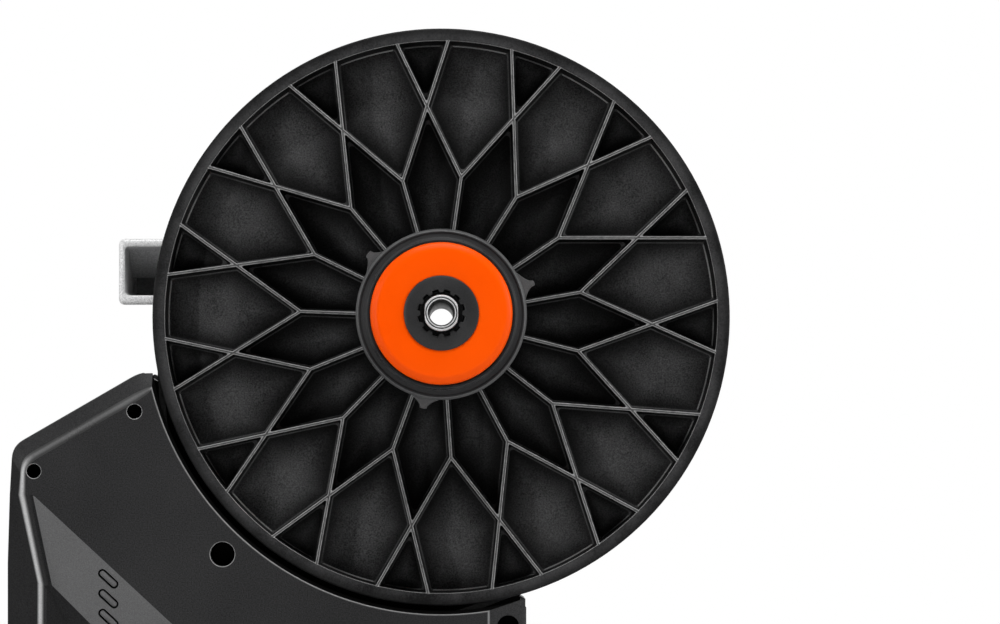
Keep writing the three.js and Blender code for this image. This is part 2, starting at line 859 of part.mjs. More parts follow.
// The face stands inside that outline by a bevel that widens down the rear edge
const faceArcRadius = arcRadius + coverBevelArc;
const faceFrontX = casingFrontX - coverBevelFront;
const faceArcEnd = 2 * Math.PI - Math.acos(faceFrontX / faceArcRadius);
const faceBottom = casingBottom + coverBevelBottom;
const faceRear = casingRearX - coverBevelRear;
const faceShoulderZ = axleHeight - shoulderDrop - coverBevelTop;
const faceArcStart = Math.PI + Math.asin((axleHeight - faceShoulderZ) / faceArcRadius);
const coverFaceOutline = [
  ...arcPoints(0, axleHeight, faceArcRadius, faceArcStart, faceArcEnd, arcSteps),
  ...arcPoints(faceFrontX - frontCorner / 2, faceBottom + frontCorner / 2, frontCorner / 2,
    0, -Math.PI / 2, cornerSteps),
  ...arcPoints(-faceRear + rearCorner / 2, faceBottom + rearCorner / 2, rearCorner / 2,
    -Math.PI / 2, -Math.PI, cornerSteps),
  point(-faceRear, axleHeight - bevelKneeDrop),
  point(-rearMiddleX + coverBevelUpper, rearMiddleZ),
  point(-rearUpperX + coverBevelUpper, axleHeight - rearUpperDrop - coverBevelUpper / 2),
  point(-crownX + coverBevelCrown / 2, crownZ - coverBevelTop),
  point(-faceArcRadius * Math.cos(faceArcStart - Math.PI) - shoulderFlat / 2, faceShoulderZ),
];

// Frame of the sloping facet: along it, across it and into the cover
const facetTilt = Math.atan2(facetDepth, facetWidth);
const facetTurn = new THREE.Matrix4().makeBasis(
  new THREE.Vector3(Math.cos(facetAngle), 0, -Math.sin(facetAngle)),
  new THREE.Vector3(-Math.sin(facetAngle), 0, -Math.cos(facetAngle)),
  new THREE.Vector3(0, 1, 0),
);
facetTurn.setPosition(-facetX, coverFace, axleHeight - facetDrop);

// Wedge that lowers the facet and all that lies below it
function facetWedge(sink) {
  const far = casingRearX + axleHeight;
  const section = [
    point(0, sink),
    point(facetWidth, facetDepth + sink),
    point(far, facetDepth + sink),
    point(far, -casingLip),
    point(0, -casingLip),
  ];
  const shape = new THREE.Shape(section);
  const wedge = new THREE.ExtrudeGeometry(shape, { depth: 2 * far, bevelEnabled: false });
  wedge.translate(0, 0, -far);
  const columns = new THREE.Matrix4().makeBasis(
    new THREE.Vector3(0, 1, 0),
    new THREE.Vector3(0, 0, 1),
    new THREE.Vector3(1, 0, 0),
  );
  wedge.applyMatrix4(columns);
  wedge.applyMatrix4(facetTurn);
  return wedge;
}

// Pill along the facet, set into the slope
function pill(index, grow, top, bottom) {
  const half = (lensLength - lensWidth) / 2;
  const radius = lensWidth / 2 + grow;
  const outline = [
    ...arcPoints(half, 0, radius, -Math.PI / 2, Math.PI / 2, lensSteps),
    ...arcPoints(-half, 0, radius, Math.PI / 2, (3 * Math.PI) / 2, lensSteps),
  ];
  const body = prismZ(outline, -top, bottom);
  const centre = new THREE.Vector3(-lensX, coverFace, axleHeight - lensDrop - index * lensPitch);
  const local = centre.applyMatrix4(facetTurn.clone().invert());
  body.rotateX(facetTilt);
  body.translate(local.x, local.y, local.y * Math.tan(facetTilt));
  return body.applyMatrix4(facetTurn);
}

// Drive-side cover: bevelled shell, open behind its lip where the belt comes in
const coverBack = plateFront - seam;
const coverInner = insetOutline(coverOutline, casingWall);
const coverInnerFace = insetOutline(coverFaceOutline, casingWall / 2);
const coverSkin = cut(loft([
  sectionAt(coverFaceOutline, coverFace),
  sectionAt(coverOutline, coverEdgePlane),
  sectionAt(coverOutline, coverBack),
]), facetWedge(0));
const coverHollow = cut(loft([
  sectionAt(coverInnerFace, coverFace + casingWall),
  sectionAt(coverInner, coverEdgePlane + casingWall),
  sectionAt(coverInner, coverBack + overrun),
]), facetWedge(casingWall));

const screwSeatBack = plateFront - seam;
function screwTube(site, radius, front, back) {
  const body = rod(radius, front, back, smallSides);
  body.translate(site.x, 0, site.z);
  return body;
}
function siteByAngle({ margin, angle, radius }) {
  const site = polar(arcRadius + margin, angle);
  return { x: site.x, z: axleHeight + site.y, radius };
}
const frontScrewX = casingFrontX - frontScrew.inset;
const frontScrewReach = arcRadius + frontScrew.margin;
const screwSites = {
  shoulder: siteByAngle(shoulderScrew),
  crown: { x: crownScrew.inset - crownX, z: crownZ - crownScrew.drop, radius: crownScrew.radius },
  middle: siteByAngle(middleScrew),
  front: {
    x: frontScrewX,
    z: axleHeight - Math.sqrt(frontScrewReach ** 2 - frontScrewX ** 2),
    radius: frontScrew.radius,
  },
};
const screwList = Object.entries(screwSites);
const bosses = screwList.map(([, site]) => screwTube(site, site.radius + screwBossWall,
  coverFace + casingWall / 2, screwSeatBack));
const bossBores = screwList.map(([, site]) => screwTube(site, site.radius,
  coverFace - overrun, screwSeatPlane));
const shankBores = screwList.map(([, site]) => screwTube(site, screwShankRadius + fit,
  coverFace, screwSeatBack + overrun));
const openingRadius = arcRadius + casingWall + fit;
const arcOpening = rod(openingRadius, coverFace + casingLip, coverBack + overrun, fineSides);
arcOpening.translate(0, 0, axleHeight);
const lensPockets = [];
for (let k = 0; k < lensCount; k += 1) lensPockets.push(pill(k, fit, overrun, lensDepth + casingWall));
const coverShell = join(cut(coverSkin, coverHollow), ...bosses);
addMesh(trainer, 'drive_side_cover',
  cut(coverShell, ...bossBores, ...shankBores, arcOpening, ...lensPockets), 'coverPlastic');
for (let k = 0; k < lensCount; k += 1) {
  addMesh(trainer, `indicator_lens_${k + 1}`, pill(k, 0, fit, lensDepth), 'lens');
}

// Cover screws: heads sunk in the bosses
for (const [name, site] of screwList) {
  const headRadius = site.radius - screwHeadClearance;
  const head = screwTube(site, headRadius, screwSeatPlane - fit - screwHeadHeight, screwSeatPlane - fit);
  const shank = screwTube(site, screwShankRadius, screwSeatPlane - 2 * fit,
    plateFront + screwShankDepth);
  addMesh(trainer, `cover_screw_${name}`, join(head, shank), 'darkSteel');
}

// Belt: one loop round the wheel and the small pulley, its back over the idler
const wheelLoop = { x: 0, z: axleHeight, radius: beltSeatRadius + fit, side: 1 };
const smallLoop = { x: -flywheelX, z: flywheelZ, radius: smallSeatRadius + fit, side: 1 };

// Tangent angles of a loop that runs counter-clockwise, or clockwise where side is -1
function beltLoop(circles, offset) {
  const sized = circles.map((c) => ({ ...c, reach: c.radius + c.side * offset }));
  const joints = sized.map((from, i) => {
    const to = sized[(i + 1) % sized.length];
    const gap = Math.hypot(to.x - from.x, to.z - from.z);
    const heading = Math.atan2(to.z - from.z, to.x - from.x);
    return heading + Math.asin((from.side * from.reach - to.side * to.reach) / gap);
  });
  const points = [];
  sized.forEach((c, i) => {
    const entry = joints[(i + sized.length - 1) % sized.length] - (c.side * Math.PI) / 2;
    let exit = joints[i] - (c.side * Math.PI) / 2;
    while (c.side * (exit - entry) < 0) exit += c.side * 2 * Math.PI;
    const step = 2 * Math.acos(1 - beltChordSag / c.radius);
    const steps = Math.ceil(Math.abs(exit - entry) / step);
    points.push(...arcPoints(c.x, c.z, c.reach, entry, exit, steps));
  });
  return points;
}
// The idler stands just outside the wheel, ahead of the small pulley, and pushes the slack run in
const smallHeading = Math.atan2(smallLoop.z - wheelLoop.z, smallLoop.x - wheelLoop.x);
const idlerCentre = polar(beltSeatRadius + idlerStandoff, smallHeading + idlerLead);
const idlerLoop = {
  x: idlerCentre.x,
  z: axleHeight + idlerCentre.y,
  radius: idlerRadius + fit + beltThickness,
  side: -1,
};
const beltCircles = [wheelLoop, smallLoop, idlerLoop];
addMesh(trainer, 'drive_belt', prismY(beltLoop(beltCircles, beltThickness), beltFront,
  beltFront + beltWidth, [beltLoop(beltCircles, 0)]), 'rubber');

// Main frame: cast plate inside the casing, arm to the axle boss, handle shoulder and foot
const chordOutline = [
  coverOutline[0],
  coverOutline[arcSteps],
  ...frontEdge(),
  ...casingEdge().slice(0, -1),
];
const frameOutline = insetOutline(chordOutline, frameInset);
const armOutline = [
  point(-armFootX, axleHeight - shoulderDrop - frameInset - bossLength),
  point(casingFrontX - frameInset, axleHeight - arcRadius + frameInset),
  point(armFrontWidth, axleHeight),
  point(-armFrontWidth, axleHeight + bossRadius / 2),
];
const shoulderOutline = [
  point(-shoulderX, handleTop),
  point(-shoulderX, handleBottom),
  point(-shoulderX / 2, axleHeight - shoulderRoot / 2),
  point(0, axleHeight - shoulderRoot),
  point(0, axleHeight + bossRadius),
  point(-shoulderX / 2, handleTop - frameInset),
];
const frameBoss = turned([
  [0, plateFront],
  [bossRadius, plateFront],
  [bossRadius, plateBack],
  [bossTipRadius, bossBack],
  [0, bossBack],
], ringSides);
frameBoss.translate(0, 0, axleHeight);
const bearingTube = rod(tubeRadius, tubeFront, tubeFront + tubeLength, ringSides);
bearingTube.translate(-flywheelX, 0, flywheelZ);
const frameFoot = boxBetween([-footRearX, -footDriveY, footTop - footThickness],
  [casingFrontX - frameInset, footFarY, footTop]);
const frameNeck = boxBetween([-footRearX, plateFront, footTop - overrun],
  [casingFrontX - frameInset, plateBack, casingBottom + frameInset + frontCorner]);

const standoffs = [];
const boardSites = [];
for (const across of [boardMargin, boardWidth - boardMargin]) {
  for (const up of [boardMargin, boardHeight - boardMargin]) {
    boardSites.push([-boardRearX + across, boardBottom + up]);
  }
}
for (const [x, z] of boardSites) {
  const post = rod(standoffRadius, plateFront - boardStandoff, plateFront + overrun, standoffSides);
  post.translate(x, 0, z);
  standoffs.push(post);
}
const framePlates = [frameOutline, armOutline, shoulderOutline]
  .map((outline) => prismY(outline, plateFront, plateBack));
const frameSolid = join(...framePlates, frameBoss, bearingTube, frameFoot, frameNeck, ...standoffs);

// Holes and blind pockets of the casting
function pocket(corners) {
  return prismY(insetOutline(corners, pocketRib / 2), plateBack - pocketDepth, plateBack + overrun);
}
const axleBore = rod(axleShankRadius + fit, plateFront - overrun, bossBack + overrun, ringSides);
axleBore.translate(0, 0, axleHeight);
const tubeBack = tubeFront + tubeLength;
const tubeBore = turned([
  [0, tubeFront - overrun],
  [tubeBearingRadius + fit, tubeFront - overrun],
  [tubeBearingRadius + fit, tubeFront + bearingWidth + 2 * fit],
  [tubeWaistRadius, tubeFront + bearingWidth + 2 * fit],
  [tubeWaistRadius, tubeBack - bearingWidth - 2 * fit],
  [tubeBearingRadius + fit, tubeBack - bearingWidth - 2 * fit],
  [tubeBearingRadius + fit, tubeBack + overrun],
  [0, tubeBack + overrun],
], ringSides);
tubeBore.translate(-flywheelX, 0, flywheelZ);
const armLeft = armOutline[0];
const armRight = armOutline[1];
const armMiddle = point((armLeft.x + armRight.x) / 2, (armLeft.y + armRight.y) / 2);
const armTop = point(-armFrontWidth / 2, axleHeight - bossRadius - pocketRib);
const pockets = [
  pocket([armLeft, armMiddle, armTop]),
  pocket([armMiddle, armRight, armTop]),
];
const handleZ = (handleTop + handleBottom) / 2;
const handleScrewZ = [handleZ + (handleTop - handleBottom) / 4, handleZ - (handleTop - handleBottom) / 4];
const handleScrewX = -shoulderX + handleTabLength / 2;
const handleTabBack = plateBack + fit + handleTabThickness;
const handleHoles = handleScrewZ.map((z) => {
  const hole = rod(handleScrewRadius + fit, plateBack - handleScrewDepth - fit, plateBack + overrun);
  hole.translate(handleScrewX, 0, z);
  return hole;
});
const idlerHole = rod(boltRadius + fit, plateFront - overrun, plateFront + boltDepth + fit);
idlerHole.translate(idlerLoop.x + bracketReach - bracketWidth / 2, 0, idlerLoop.z);
const screwHoles = screwList.map(([, site]) => screwTube(site, screwShankRadius + fit,
  plateFront - overrun, plateFront + screwShankDepth + fit));
addMesh(trainer, 'main_frame', cut(frameSolid, axleBore, tubeBore, ...pockets,
  ...handleHoles, idlerHole, ...screwHoles), 'silverPaint');

// Carry handle: cast pocket with drafted walls, a sloping back, a finger recess and a bolted tab
function roundedBox(x0, x1, z0, z1, radius) {
  return [
    ...arcPoints(x1 - radius, z1 - radius, radius, 0, Math.PI / 2, edgeSteps),
    ...arcPoints(x0 + radius, z1 - radius, radius, Math.PI / 2, Math.PI, edgeSteps),
    ...arcPoints(x0 + radius, z0 + radius, radius, Math.PI, (3 * Math.PI) / 2, edgeSteps),
    ...arcPoints(x1 - radius, z0 + radius, radius, (3 * Math.PI) / 2, 2 * Math.PI, edgeSteps),
  ];
}
const handleBack = handleFront + handleDepth;
const handleInnerX = -shoulderX - fit;
const handleBody = prismY(roundedBox(-handleRearX, handleInnerX, handleBottom, handleTop, handleCorner),
  handleFront, handleBack);
const handleMouth = roundedBox(-handleRearX + handleWallSide, handleInnerX - handleEndWall,
  handleBottom + handleWallBottom, handleTop - handleWallTop, handleCorner);
const handleCavity = loft([
  sectionAt(handleMouth, handleFront - overrun),
  sectionAt(insetOutline(handleMouth, handleDraft), handleBack - handleFloor),
]);
const recessTop = handleBottom + handleWallBottom + handleDraft + handleRecess;
const slopeDrop = handleTop - handleWallTop - recessTop;
const slopeAt = (z) => handleFront + (handleDepth - handleFloor)
  * THREE.MathUtils.mapLinear(z, recessTop, recessTop + slopeDrop, handleLowShare, handleTopShare);
function behindSlope(x0, x1, low, high, shell) {
  const outline = [point(x0, low), point(x1, low), point(x1, high), point(x0, high)];
  const slope = outline.map((p) => new THREE.Vector3(p.x, slopeAt(p.y) + shell, p.y));
  return loft([slope, sectionAt(outline, handleBack + overrun)]);
}
const slopingBack = behindSlope(-handleRearX, handleInnerX, recessTop, handleTop, 0);
const slopeOutside = behindSlope(-handleRearX - overrun, handleInnerX - handleEndWall,
  recessTop + handleFloor, handleTop + overrun, handleShell);
const handleTab = boxBetween(
  [handleInnerX - handleEndWall, plateBack + fit, handleBottom + handleTabMargin],
  [-shoulderX + handleTabLength, handleTabBack, handleTop - handleTabMargin]);
const tabBores = handleScrewZ.map((z) => {
  const bore = rod(handleScrewRadius + fit, plateBack, handleTabBack + overrun);
  bore.translate(handleScrewX, 0, z);
  return bore;
});
addMesh(trainer, 'carry_handle',
  cut(join(cut(handleBody, slopeOutside), handleTab), cut(handleCavity, slopingBack), ...tabBores),
  'silverPaint');
handleScrewZ.forEach((z, k) => {
  const shank = rod(handleScrewRadius, plateBack - handleScrewDepth, handleTabBack + 2 * fit);
  const head = rod(handleScrewHead, handleTabBack + fit, handleTabBack + fit + screwHeadHeight);
  const screw = join(shank, head);
  screw.translate(handleScrewX, 0, z);
  addMesh(trainer, `handle_screw_${k + 1}`, screw, 'darkSteel');
});

// Flywheel, shaft, small belt pulley and their bearings
const flywheelBack = flywheelFront + flywheelThickness;
const webPlane = flywheelBack - flywheelWeb;
const rimInner = flywheelRadius - flywheelRimWidth;
const flywheelBody = turned([
  [shaftRadius + fit, webPlane],
  [rimInner, webPlane],
  [rimInner, flywheelFront],
  [flywheelRadius - flywheelChamfer, flywheelFront],
  [flywheelRadius, flywheelFront + flywheelChamfer],
  [flywheelRadius, flywheelBack - flywheelChamfer],
  [flywheelRadius - flywheelChamfer, flywheelBack],
  [shaftRadius + fit, flywheelBack],
], discSides);
const balanceHoles = [];
for (let k = 0; k < flywheelHoleCount; k += 1) {
  const centre = polar(flywheelHoleCircle, (2 * Math.PI * k) / flywheelHoleCount);
  const hole = rod(flywheelHoleRadius, webPlane - overrun, flywheelBack + overrun);
  hole.translate(centre.x, 0, centre.y);
  balanceHoles.push(hole);
}
addMesh(flywheelLine, 'flywheel', cut(flywheelBody, ...balanceHoles), 'darkSteel');
addMesh(flywheelLine, 'flywheel_shaft', rod(shaftRadius, shaftFront, flywheelBack + shaftBeyond), 'steel');
const flangeRadius = smallSeatRadius + smallFlangeRise;
addMesh(flywheelLine, 'belt_pulley', turned([
  [shaftRadius + fit, smallPulleyFront],
  [flangeRadius, smallPulleyFront],
  [flangeRadius, smallPulleyFront + smallFlange],
  [smallSeatRadius, smallPulleyFront + smallFlange],
  [smallSeatRadius, smallPulleyBack - smallFlange],
  [flangeRadius, smallPulleyBack - smallFlange],
  [flangeRadius, smallPulleyBack],
  [shaftRadius + fit, smallPulleyBack],
], ringSides), 'aluminium');
addMesh(flywheelLine, 'flywheel_bearing_front',
  bearing(bearingBore, tubeBearingRadius, tubeFront + fit, tubeFront + fit + bearingWidth), 'darkSteel');
addMesh(flywheelLine, 'flywheel_bearing_rear',
  bearing(bearingBore, tubeBearingRadius, tubeBack - fit - bearingWidth, tubeBack - fit), 'darkSteel');

// Brake: steel spool seated on the bearing tube, with its ring coil
const coreBack = coreFront + coreWidth;
addMesh(flywheelLine, 'brake_core', turned([
  [tubeRadius + fit, coreFront],
  [coreRadius, coreFront],
  [coreRadius, coreFront + coreFlange],
  [coreWaist, coreFront + coreFlange],
  [coreWaist, coreBack - coreFlange],
  [coreRadius, coreBack - coreFlange],
  [coreRadius, coreBack],
  [tubeRadius + fit, coreBack],
], ringSides), 'darkSteel');
addMesh(flywheelLine, 'brake_coil', tube(coreWaist + fit, coilRadius,
  coreFront + coreFlange + fit, coreBack - coreFlange - fit, ringSides), 'copper');

// Idler roller on its bearing, carried by a bracket stud
const idlerLine = new THREE.Group();
idlerLine.position.set(idlerLoop.x, 0, idlerLoop.z);
trainer.add(idlerLine);
const idlerFront = beltFront + (beltWidth - idlerWidth) / 2;
const idlerBack = idlerFront + idlerWidth;
const rollerBore = rod(idlerBearingRadius + fit, idlerFront - overrun, idlerBack + overrun);
addMesh(idlerLine, 'idler_roller',
  cut(rod(idlerRadius, idlerFront, idlerBack, ringSides), rollerBore), 'blackPlastic');
const idlerBearingFront = (idlerFront + idlerBack - bearingWidth) / 2;
addMesh(idlerLine, 'idler_bearing', bearing(idlerStudRadius + fit, idlerBearingRadius,
  idlerBearingFront, idlerBearingFront + bearingWidth), 'darkSteel');
const bracketBack = plateFront - fit;
const bracketFront = bracketBack - bracketThickness;
const studHead = rod(idlerStudHead, idlerBearingFront - fit - idlerFlange, idlerBearingFront - fit);
const studNeck = rod(idlerStudHead, idlerBearingFront + bearingWidth + fit, bracketFront + overrun);
const stud = rod(idlerStudRadius, idlerBearingFront - fit - idlerFlange / 2, bracketFront + overrun);
const bracketBar = prismY([
  ...arcPoints(0, 0, bracketWidth / 2, Math.PI / 2, (3 * Math.PI) / 2, 2 * cornerSteps),
  point(bracketReach, -bracketWidth / 2),
  point(bracketReach, bracketWidth / 2),
], bracketFront, bracketBack);
const bracketBolt = rod(boltRadius + fit, bracketFront - overrun, bracketBack + overrun);
bracketBolt.translate(bracketReach - bracketWidth / 2, 0, 0);
addMesh(idlerLine, 'tensioner_bracket',
  cut(join(bracketBar, studHead, stud, studNeck), bracketBolt), 'steel');
const tensionBolt = join(
  rod(boltHead, bracketFront - fit - boltHeadHeight, bracketFront - fit, 6),
  rod(boltRadius, bracketFront - 2 * fit, plateFront + boltDepth));
tensionBolt.translate(bracketReach - bracketWidth / 2, 0, 0);
addMesh(idlerLine, 'tensioner_bolt', tensionBolt, 'darkSteel');

// Control board on the frame's standoffs, with its two largest chips
const boardBack = plateFront - boardStandoff - fit;
const boardPlate = boxBetween([-boardRearX, boardBack - boardThickness, boardBottom],
  [-boardRearX + boardWidth, boardBack, boardBottom + boardHeight]);
const chips = [1, 2].map((k) => {
  const z = boardBottom + (boardHeight * k) / 3;
  const x = -boardRearX + boardWidth / 2;
  const front = boardBack - boardThickness - chipHeight;
  return boxBetween([x - chipSize / 2, front, z - chipSize / 2],
    [x + chipSize / 2, boardBack - boardThickness / 2, z + chipSize / 2]);
});
addMesh(trainer, 'control_board', join(boardPlate, ...chips), 'board');

// Speed sensor facing the flywheel's rim
addMesh(flywheelLine, 'speed_sensor', boxBetween(
  [-sensorWidth / 2, plateBack + fit, sensorRise - sensorHeight / 2],
  [sensorWidth / 2, plateBack + fit + sensorThickness, sensorRise + sensorHeight / 2]), 'blackPlastic');

// Far-side cover: shell with a round bulge over the flywheel and radial vents
const farFront = plateBack + seam;
const farFace = farFront + farCoverDepth;
const farInner = insetOutline(chordOutline, casingWall);
const farSkin = loft([
  sectionAt(chordOutline, farFront),
  sectionAt(chordOutline, farFace - farBevel),
  sectionAt(insetOutline(chordOutline, farBevel), farFace),
]);
const farHollow = loft([
  sectionAt(farInner, farFront - overrun),
  sectionAt(farInner, farFace - farBevel - casingWall / 2),
  sectionAt(insetOutline(farInner, farBevel), farFace - casingWall),
]);
const bulge = turned([
  [0, farFace - casingWall / 2],
  [bulgeRadius, farFace - casingWall / 2],
  [bulgeRadius, farFace],
  [bulgeRadius - bulgeHeight, farFace + bulgeHeight],
  [0, farFace + bulgeHeight],
], ringSides);
const bulgeHollow = turned([
  [0, farFace - 2 * casingWall],
  [bulgeRadius - casingWall, farFace - 2 * casingWall],
  [bulgeRadius - casingWall, farFace - casingWall / 2],
  [bulgeRadius - bulgeHeight - casingWall / 2, farFace + bulgeHeight - casingWall],
  [0, farFace + bulgeHeight - casingWall],
], ringSides);
const vents = [];
for (let k = 0; k < ventCount; k += 1) {
  const slot = boxBetween([ventInner, farFace - 2 * casingWall, -ventWidth / 2],
    [ventOuter, farFace + bulgeHeight + overrun, ventWidth / 2]);
  slot.rotateY((2 * Math.PI * k) / ventCount);
  vents.push(slot);
}
for (const piece of [bulge, bulgeHollow, ...vents]) piece.translate(-flywheelX, 0, flywheelZ);
const inletHole = rod(inletRadius + fit, -overrun, casingWall + overrun);
inletHole.rotateZ(-Math.PI / 2);
inletHole.translate(-casingRearX, inletY, inletZ);
addMesh(trainer, 'far_side_cover', cut(join(farSkin, bulge), farHollow, bulgeHollow, ...vents,
  inletHole), 'coverPlastic');

// Power inlet: flanged barrel socket in the rear wall
const inletBody = turned([
  [0, -fit - inletFlange],
  [inletFlangeRadius, -fit - inletFlange],
  [inletFlangeRadius, -fit],
  [inletRadius, -fit],
  [inletRadius, inletLength],
  [0, inletLength],
], smallSides);
const inletBore = tube(inletPinRadius, inletBoreRadius, -inletFlange - overrun,
  inletBoreDepth - inletFlange, smallSides);
const inlet = cut(inletBody, inletBore);
inlet.rotateZ(-Math.PI / 2);
inlet.translate(-casingRearX, inletY, inletZ);
addMesh(trainer, 'power_inlet', inlet, 'blackPlastic');

// Base beam and front crossbar: rectangular tubes
function tubeSection(halfWidth, bottom, top, wall) {
  const outer = roundedBox(-halfWidth, halfWidth, bottom, top, 2 * wall);
  const inner = roundedBox(-halfWidth + wall, halfWidth - wall, bottom + wall, top - wall, wall);
  return [outer, inner];
}
const [beamOuter, beamHollow] = tubeSection(beamWidth / 2, beamBottom, beamTop, beamWall);
const beam = prismY(beamOuter, 0, beamRear + beamFront, [beamHollow]);
beam.rotateZ(-Math.PI / 2);
beam.translate(-beamRear, 0, 0);
addMesh(trainer, 'base_beam', beam, 'silverPaint');
const [barOuter, barHollow] = tubeSection(crossbarWidth / 2, beamBottom, beamTop, beamWall);
const crossbarX = beamFront + fit + crossbarWidth / 2;
const crossbar = prismY(barOuter, -crossbarHalf, crossbarHalf, [barHollow]);
crossbar.translate(crossbarX, 0, 0);
addMesh(trainer, 'front_crossbar', crossbar, 'silverPaint');
for (const [side, name] of [[-1, 'drive'], [1, 'far']]) {
  const start = crossbarHalf + fit;
  const spigotOutline = insetOutline(barHollow, fit);
  const flange = loft([
    sectionAt(barOuter, start),
    sectionAt(barOuter, start + plugFlange - plugRound / 2),
    sectionAt(insetOutline(barOuter, plugRound / 2), start + plugFlange),
  ]);
  const spigot = prismY(spigotOutline, start - plugSpigot, start + fit);
  const plug = join(flange, spigot);
  if (side < 0) plug.rotateZ(Math.PI);
  plug.translate(crossbarX, 0, 0);
  addMesh(trainer, `crossbar_plug_${name}`, plug, 'blackPlastic');
  const padOutline = roundedBox(-padWidth / 2, padWidth / 2, -padLength / 2, padLength / 2, padFoot);
  const narrow = padOutline.map((p) => p.clone().multiplyScalar(padTaperShare));
  const pad = loft([
    levelAt(padOutline, 0),
    levelAt(padOutline, padFoot),
    levelAt(narrow, beamBottom - fit),
  ]);
  pad.rotateX(Math.PI / 2);
  pad.translate(crossbarX, side * padCentre, 0);
  addMesh(trainer, `front_pad_${name}`, pad, 'rubber');
}

// Hinge bracket: a clevis on each side of the beam's rear end
const clevisTop = [
  point(-beamRear - fit, -bracketHalf),
  point(-beamRear - fit, bracketHalf),
  ...arcPoints(-hingeX, hingeY, knuckleRadius, 0, Math.PI, 2 * cornerSteps),
  point(-bracketRearX - fit, bracketHalf),
  point(-bracketRearX - fit, -bracketHalf),
  ...arcPoints(-hingeX, -hingeY, knuckleRadius, Math.PI, 2 * Math.PI, 2 * cornerSteps),
];
const upperPlate = prismZ(clevisTop, bracketTop - bracketPlate, bracketTop);
const lowerPlate = prismZ(clevisTop, bracketBottom, bracketBottom + bracketPlate);
const bracketWeb = boxBetween([-bracketRearX, -bracketWebHalf, bracketBottom + overrun],
  [-beamRear - fit, bracketWebHalf, bracketTop - overrun]);
const pinBores = [-1, 1].map((side) => {
  const bore = prismZ(circlePath(-hingeX, side * hingeY, hingePinRadius + fit, smallSides),
    bracketBottom - overrun, bracketTop + overrun);
  return bore;
});
addMesh(trainer, 'hinge_bracket', cut(join(upperPlate, lowerPlate, bracketWeb), ...pinBores),
  'silverPaint');

// Leg in its own frame: knuckle at the origin, arm along +X, foot stud hole at the tip
const legBottom = bracketBottom + bracketPlate + fit;
const legTop = bracketTop - bracketPlate - fit;
const legSlope = Math.asin((knuckleRadius - legTipRadius) / legLength);
function legOutline(shrink) {
  return [
    ...arcPoints(0, 0, knuckleRadius - shrink, Math.PI / 2 - legSlope,
      (3 * Math.PI) / 2 + legSlope, 2 * cornerSteps),
    ...arcPoints(legLength, 0, legTipRadius - shrink, -Math.PI / 2 + legSlope,
      Math.PI / 2 - legSlope, 2 * cornerSteps),
  ];
}
function makeLeg() {
  const arm = loft([
    levelAt(legOutline(legBevel), legBottom),
    levelAt(legOutline(0), legBottom + legBevel),
    levelAt(legOutline(0), legTop - legBevel),
    levelAt(legOutline(legBevel), legTop),
  ]);
  arm.rotateX(Math.PI / 2);
  const pinBore = prismZ(circlePath(0, 0, hingePinRadius + fit, smallSides), 0, bracketTop);
  const studBore = prismZ(circlePath(legLength, 0, footStudRadius + fit, smallSides), 0,
    legTop - legWall);
  const underside = prismZ([
    point(knuckleRadius + legWall, -legTipRadius + legWall),
    point(legLength - legTipRadius - legWall, -legTipRadius + legWall),
    point(legLength - legTipRadius - legWall, legTipRadius - legWall),
    point(knuckleRadius + legWall, legTipRadius - legWall),
  ], 0, legTop - legWall);
  return cut(arm, pinBore, studBore, underside);
}

// Clamp knob: lobed head on a skirt, blind hole for the hinge pin's thread
function makeKnob() {
  const sides = knobLobes * knobLobeSteps;
  const lobed = (radius) => {
    const points = [];
    for (let k = 0; k < sides; k += 1) {
      const angle = (2 * Math.PI * k) / sides;
      points.push(polar(radius - knobLobeDepth * (0.5 + 0.5 * Math.cos(knobLobes * angle)), angle));
    }
    return points;
  };
  const base = bracketTop + fit;
  const round = circlePath(0, 0, knobRadius - 2 * knobLobeDepth, sides);
  const body = loft([
    levelAt(round, base),
    levelAt(round, base + knobSkirt),
    levelAt(lobed(knobRadius), base + knobSkirt + knobRound),
    levelAt(lobed(knobRadius), base + knobHeight - knobRound),
    levelAt(lobed(knobRadius - knobRound), base + knobHeight),
  ]);
  body.rotateX(Math.PI / 2);
  const hole = prismZ(circlePath(0, 0, hingePinRadius + fit, smallSides), bracketTop - overrun,
    base + knobHeight / 2);
  return cut(body, hole);
}

function makeFoot() {
  const stem = turned([
    [0, 0],
    [footPadRadius, 0],
    [footPadRadius, footPadHeight - footShoulder],
    [footPadRadius - footShoulder, footPadHeight],
    [footNeckRadius, footPadHeight + footShoulder],
    [footNeckRadius, legBottom - fit],
    [footStudRadius, legBottom - fit],
    [footStudRadius, legTop - legWall - fit],
    [0, legTop - legWall - fit],
  ], smallSides);
  return stem.rotateX(Math.PI / 2);
}

for (const [side, name] of [[-1, 'drive'], [1, 'far']]) {
  const pivot = new THREE.Group();
  pivot.position.set(-hingeX, side * hingeY, 0);
  trainer.add(pivot);
  const pinHead = rod(hingePinHead, bracketBottom - fit - hingePinHeadHeight, bracketBottom - fit);
  const pinBody = rod(hingePinRadius, bracketBottom - 2 * fit, bracketTop + knobHeight / 2 - fit);
  addMesh(pivot, `hinge_pin_${name}`, join(pinBody, pinHead).rotateX(Math.PI / 2), 'steel');
  addMesh(pivot, `leg_knob_${name}`, makeKnob(), 'blackPlastic');
  const swing = new THREE.Group();
  swing.rotation.z = side * legDeployed;
  pivot.add(swing);
  addMesh(swing, `leg_${name}`, makeLeg(), 'silverPaint');
  addMesh(swing, `levelling_foot_${name}`, makeFoot(), 'rubber').position.x = legLength;
}

// The finished part stands on the floor with its origin under the middle of its box
const reach = new THREE.Box3().setFromObject(trainer);
const middle = reach.getCenter(new THREE.Vector3());
trainer.position.set(-middle.x, -middle.y, -reach.min.z);

export default trainer;
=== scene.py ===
import json
import math

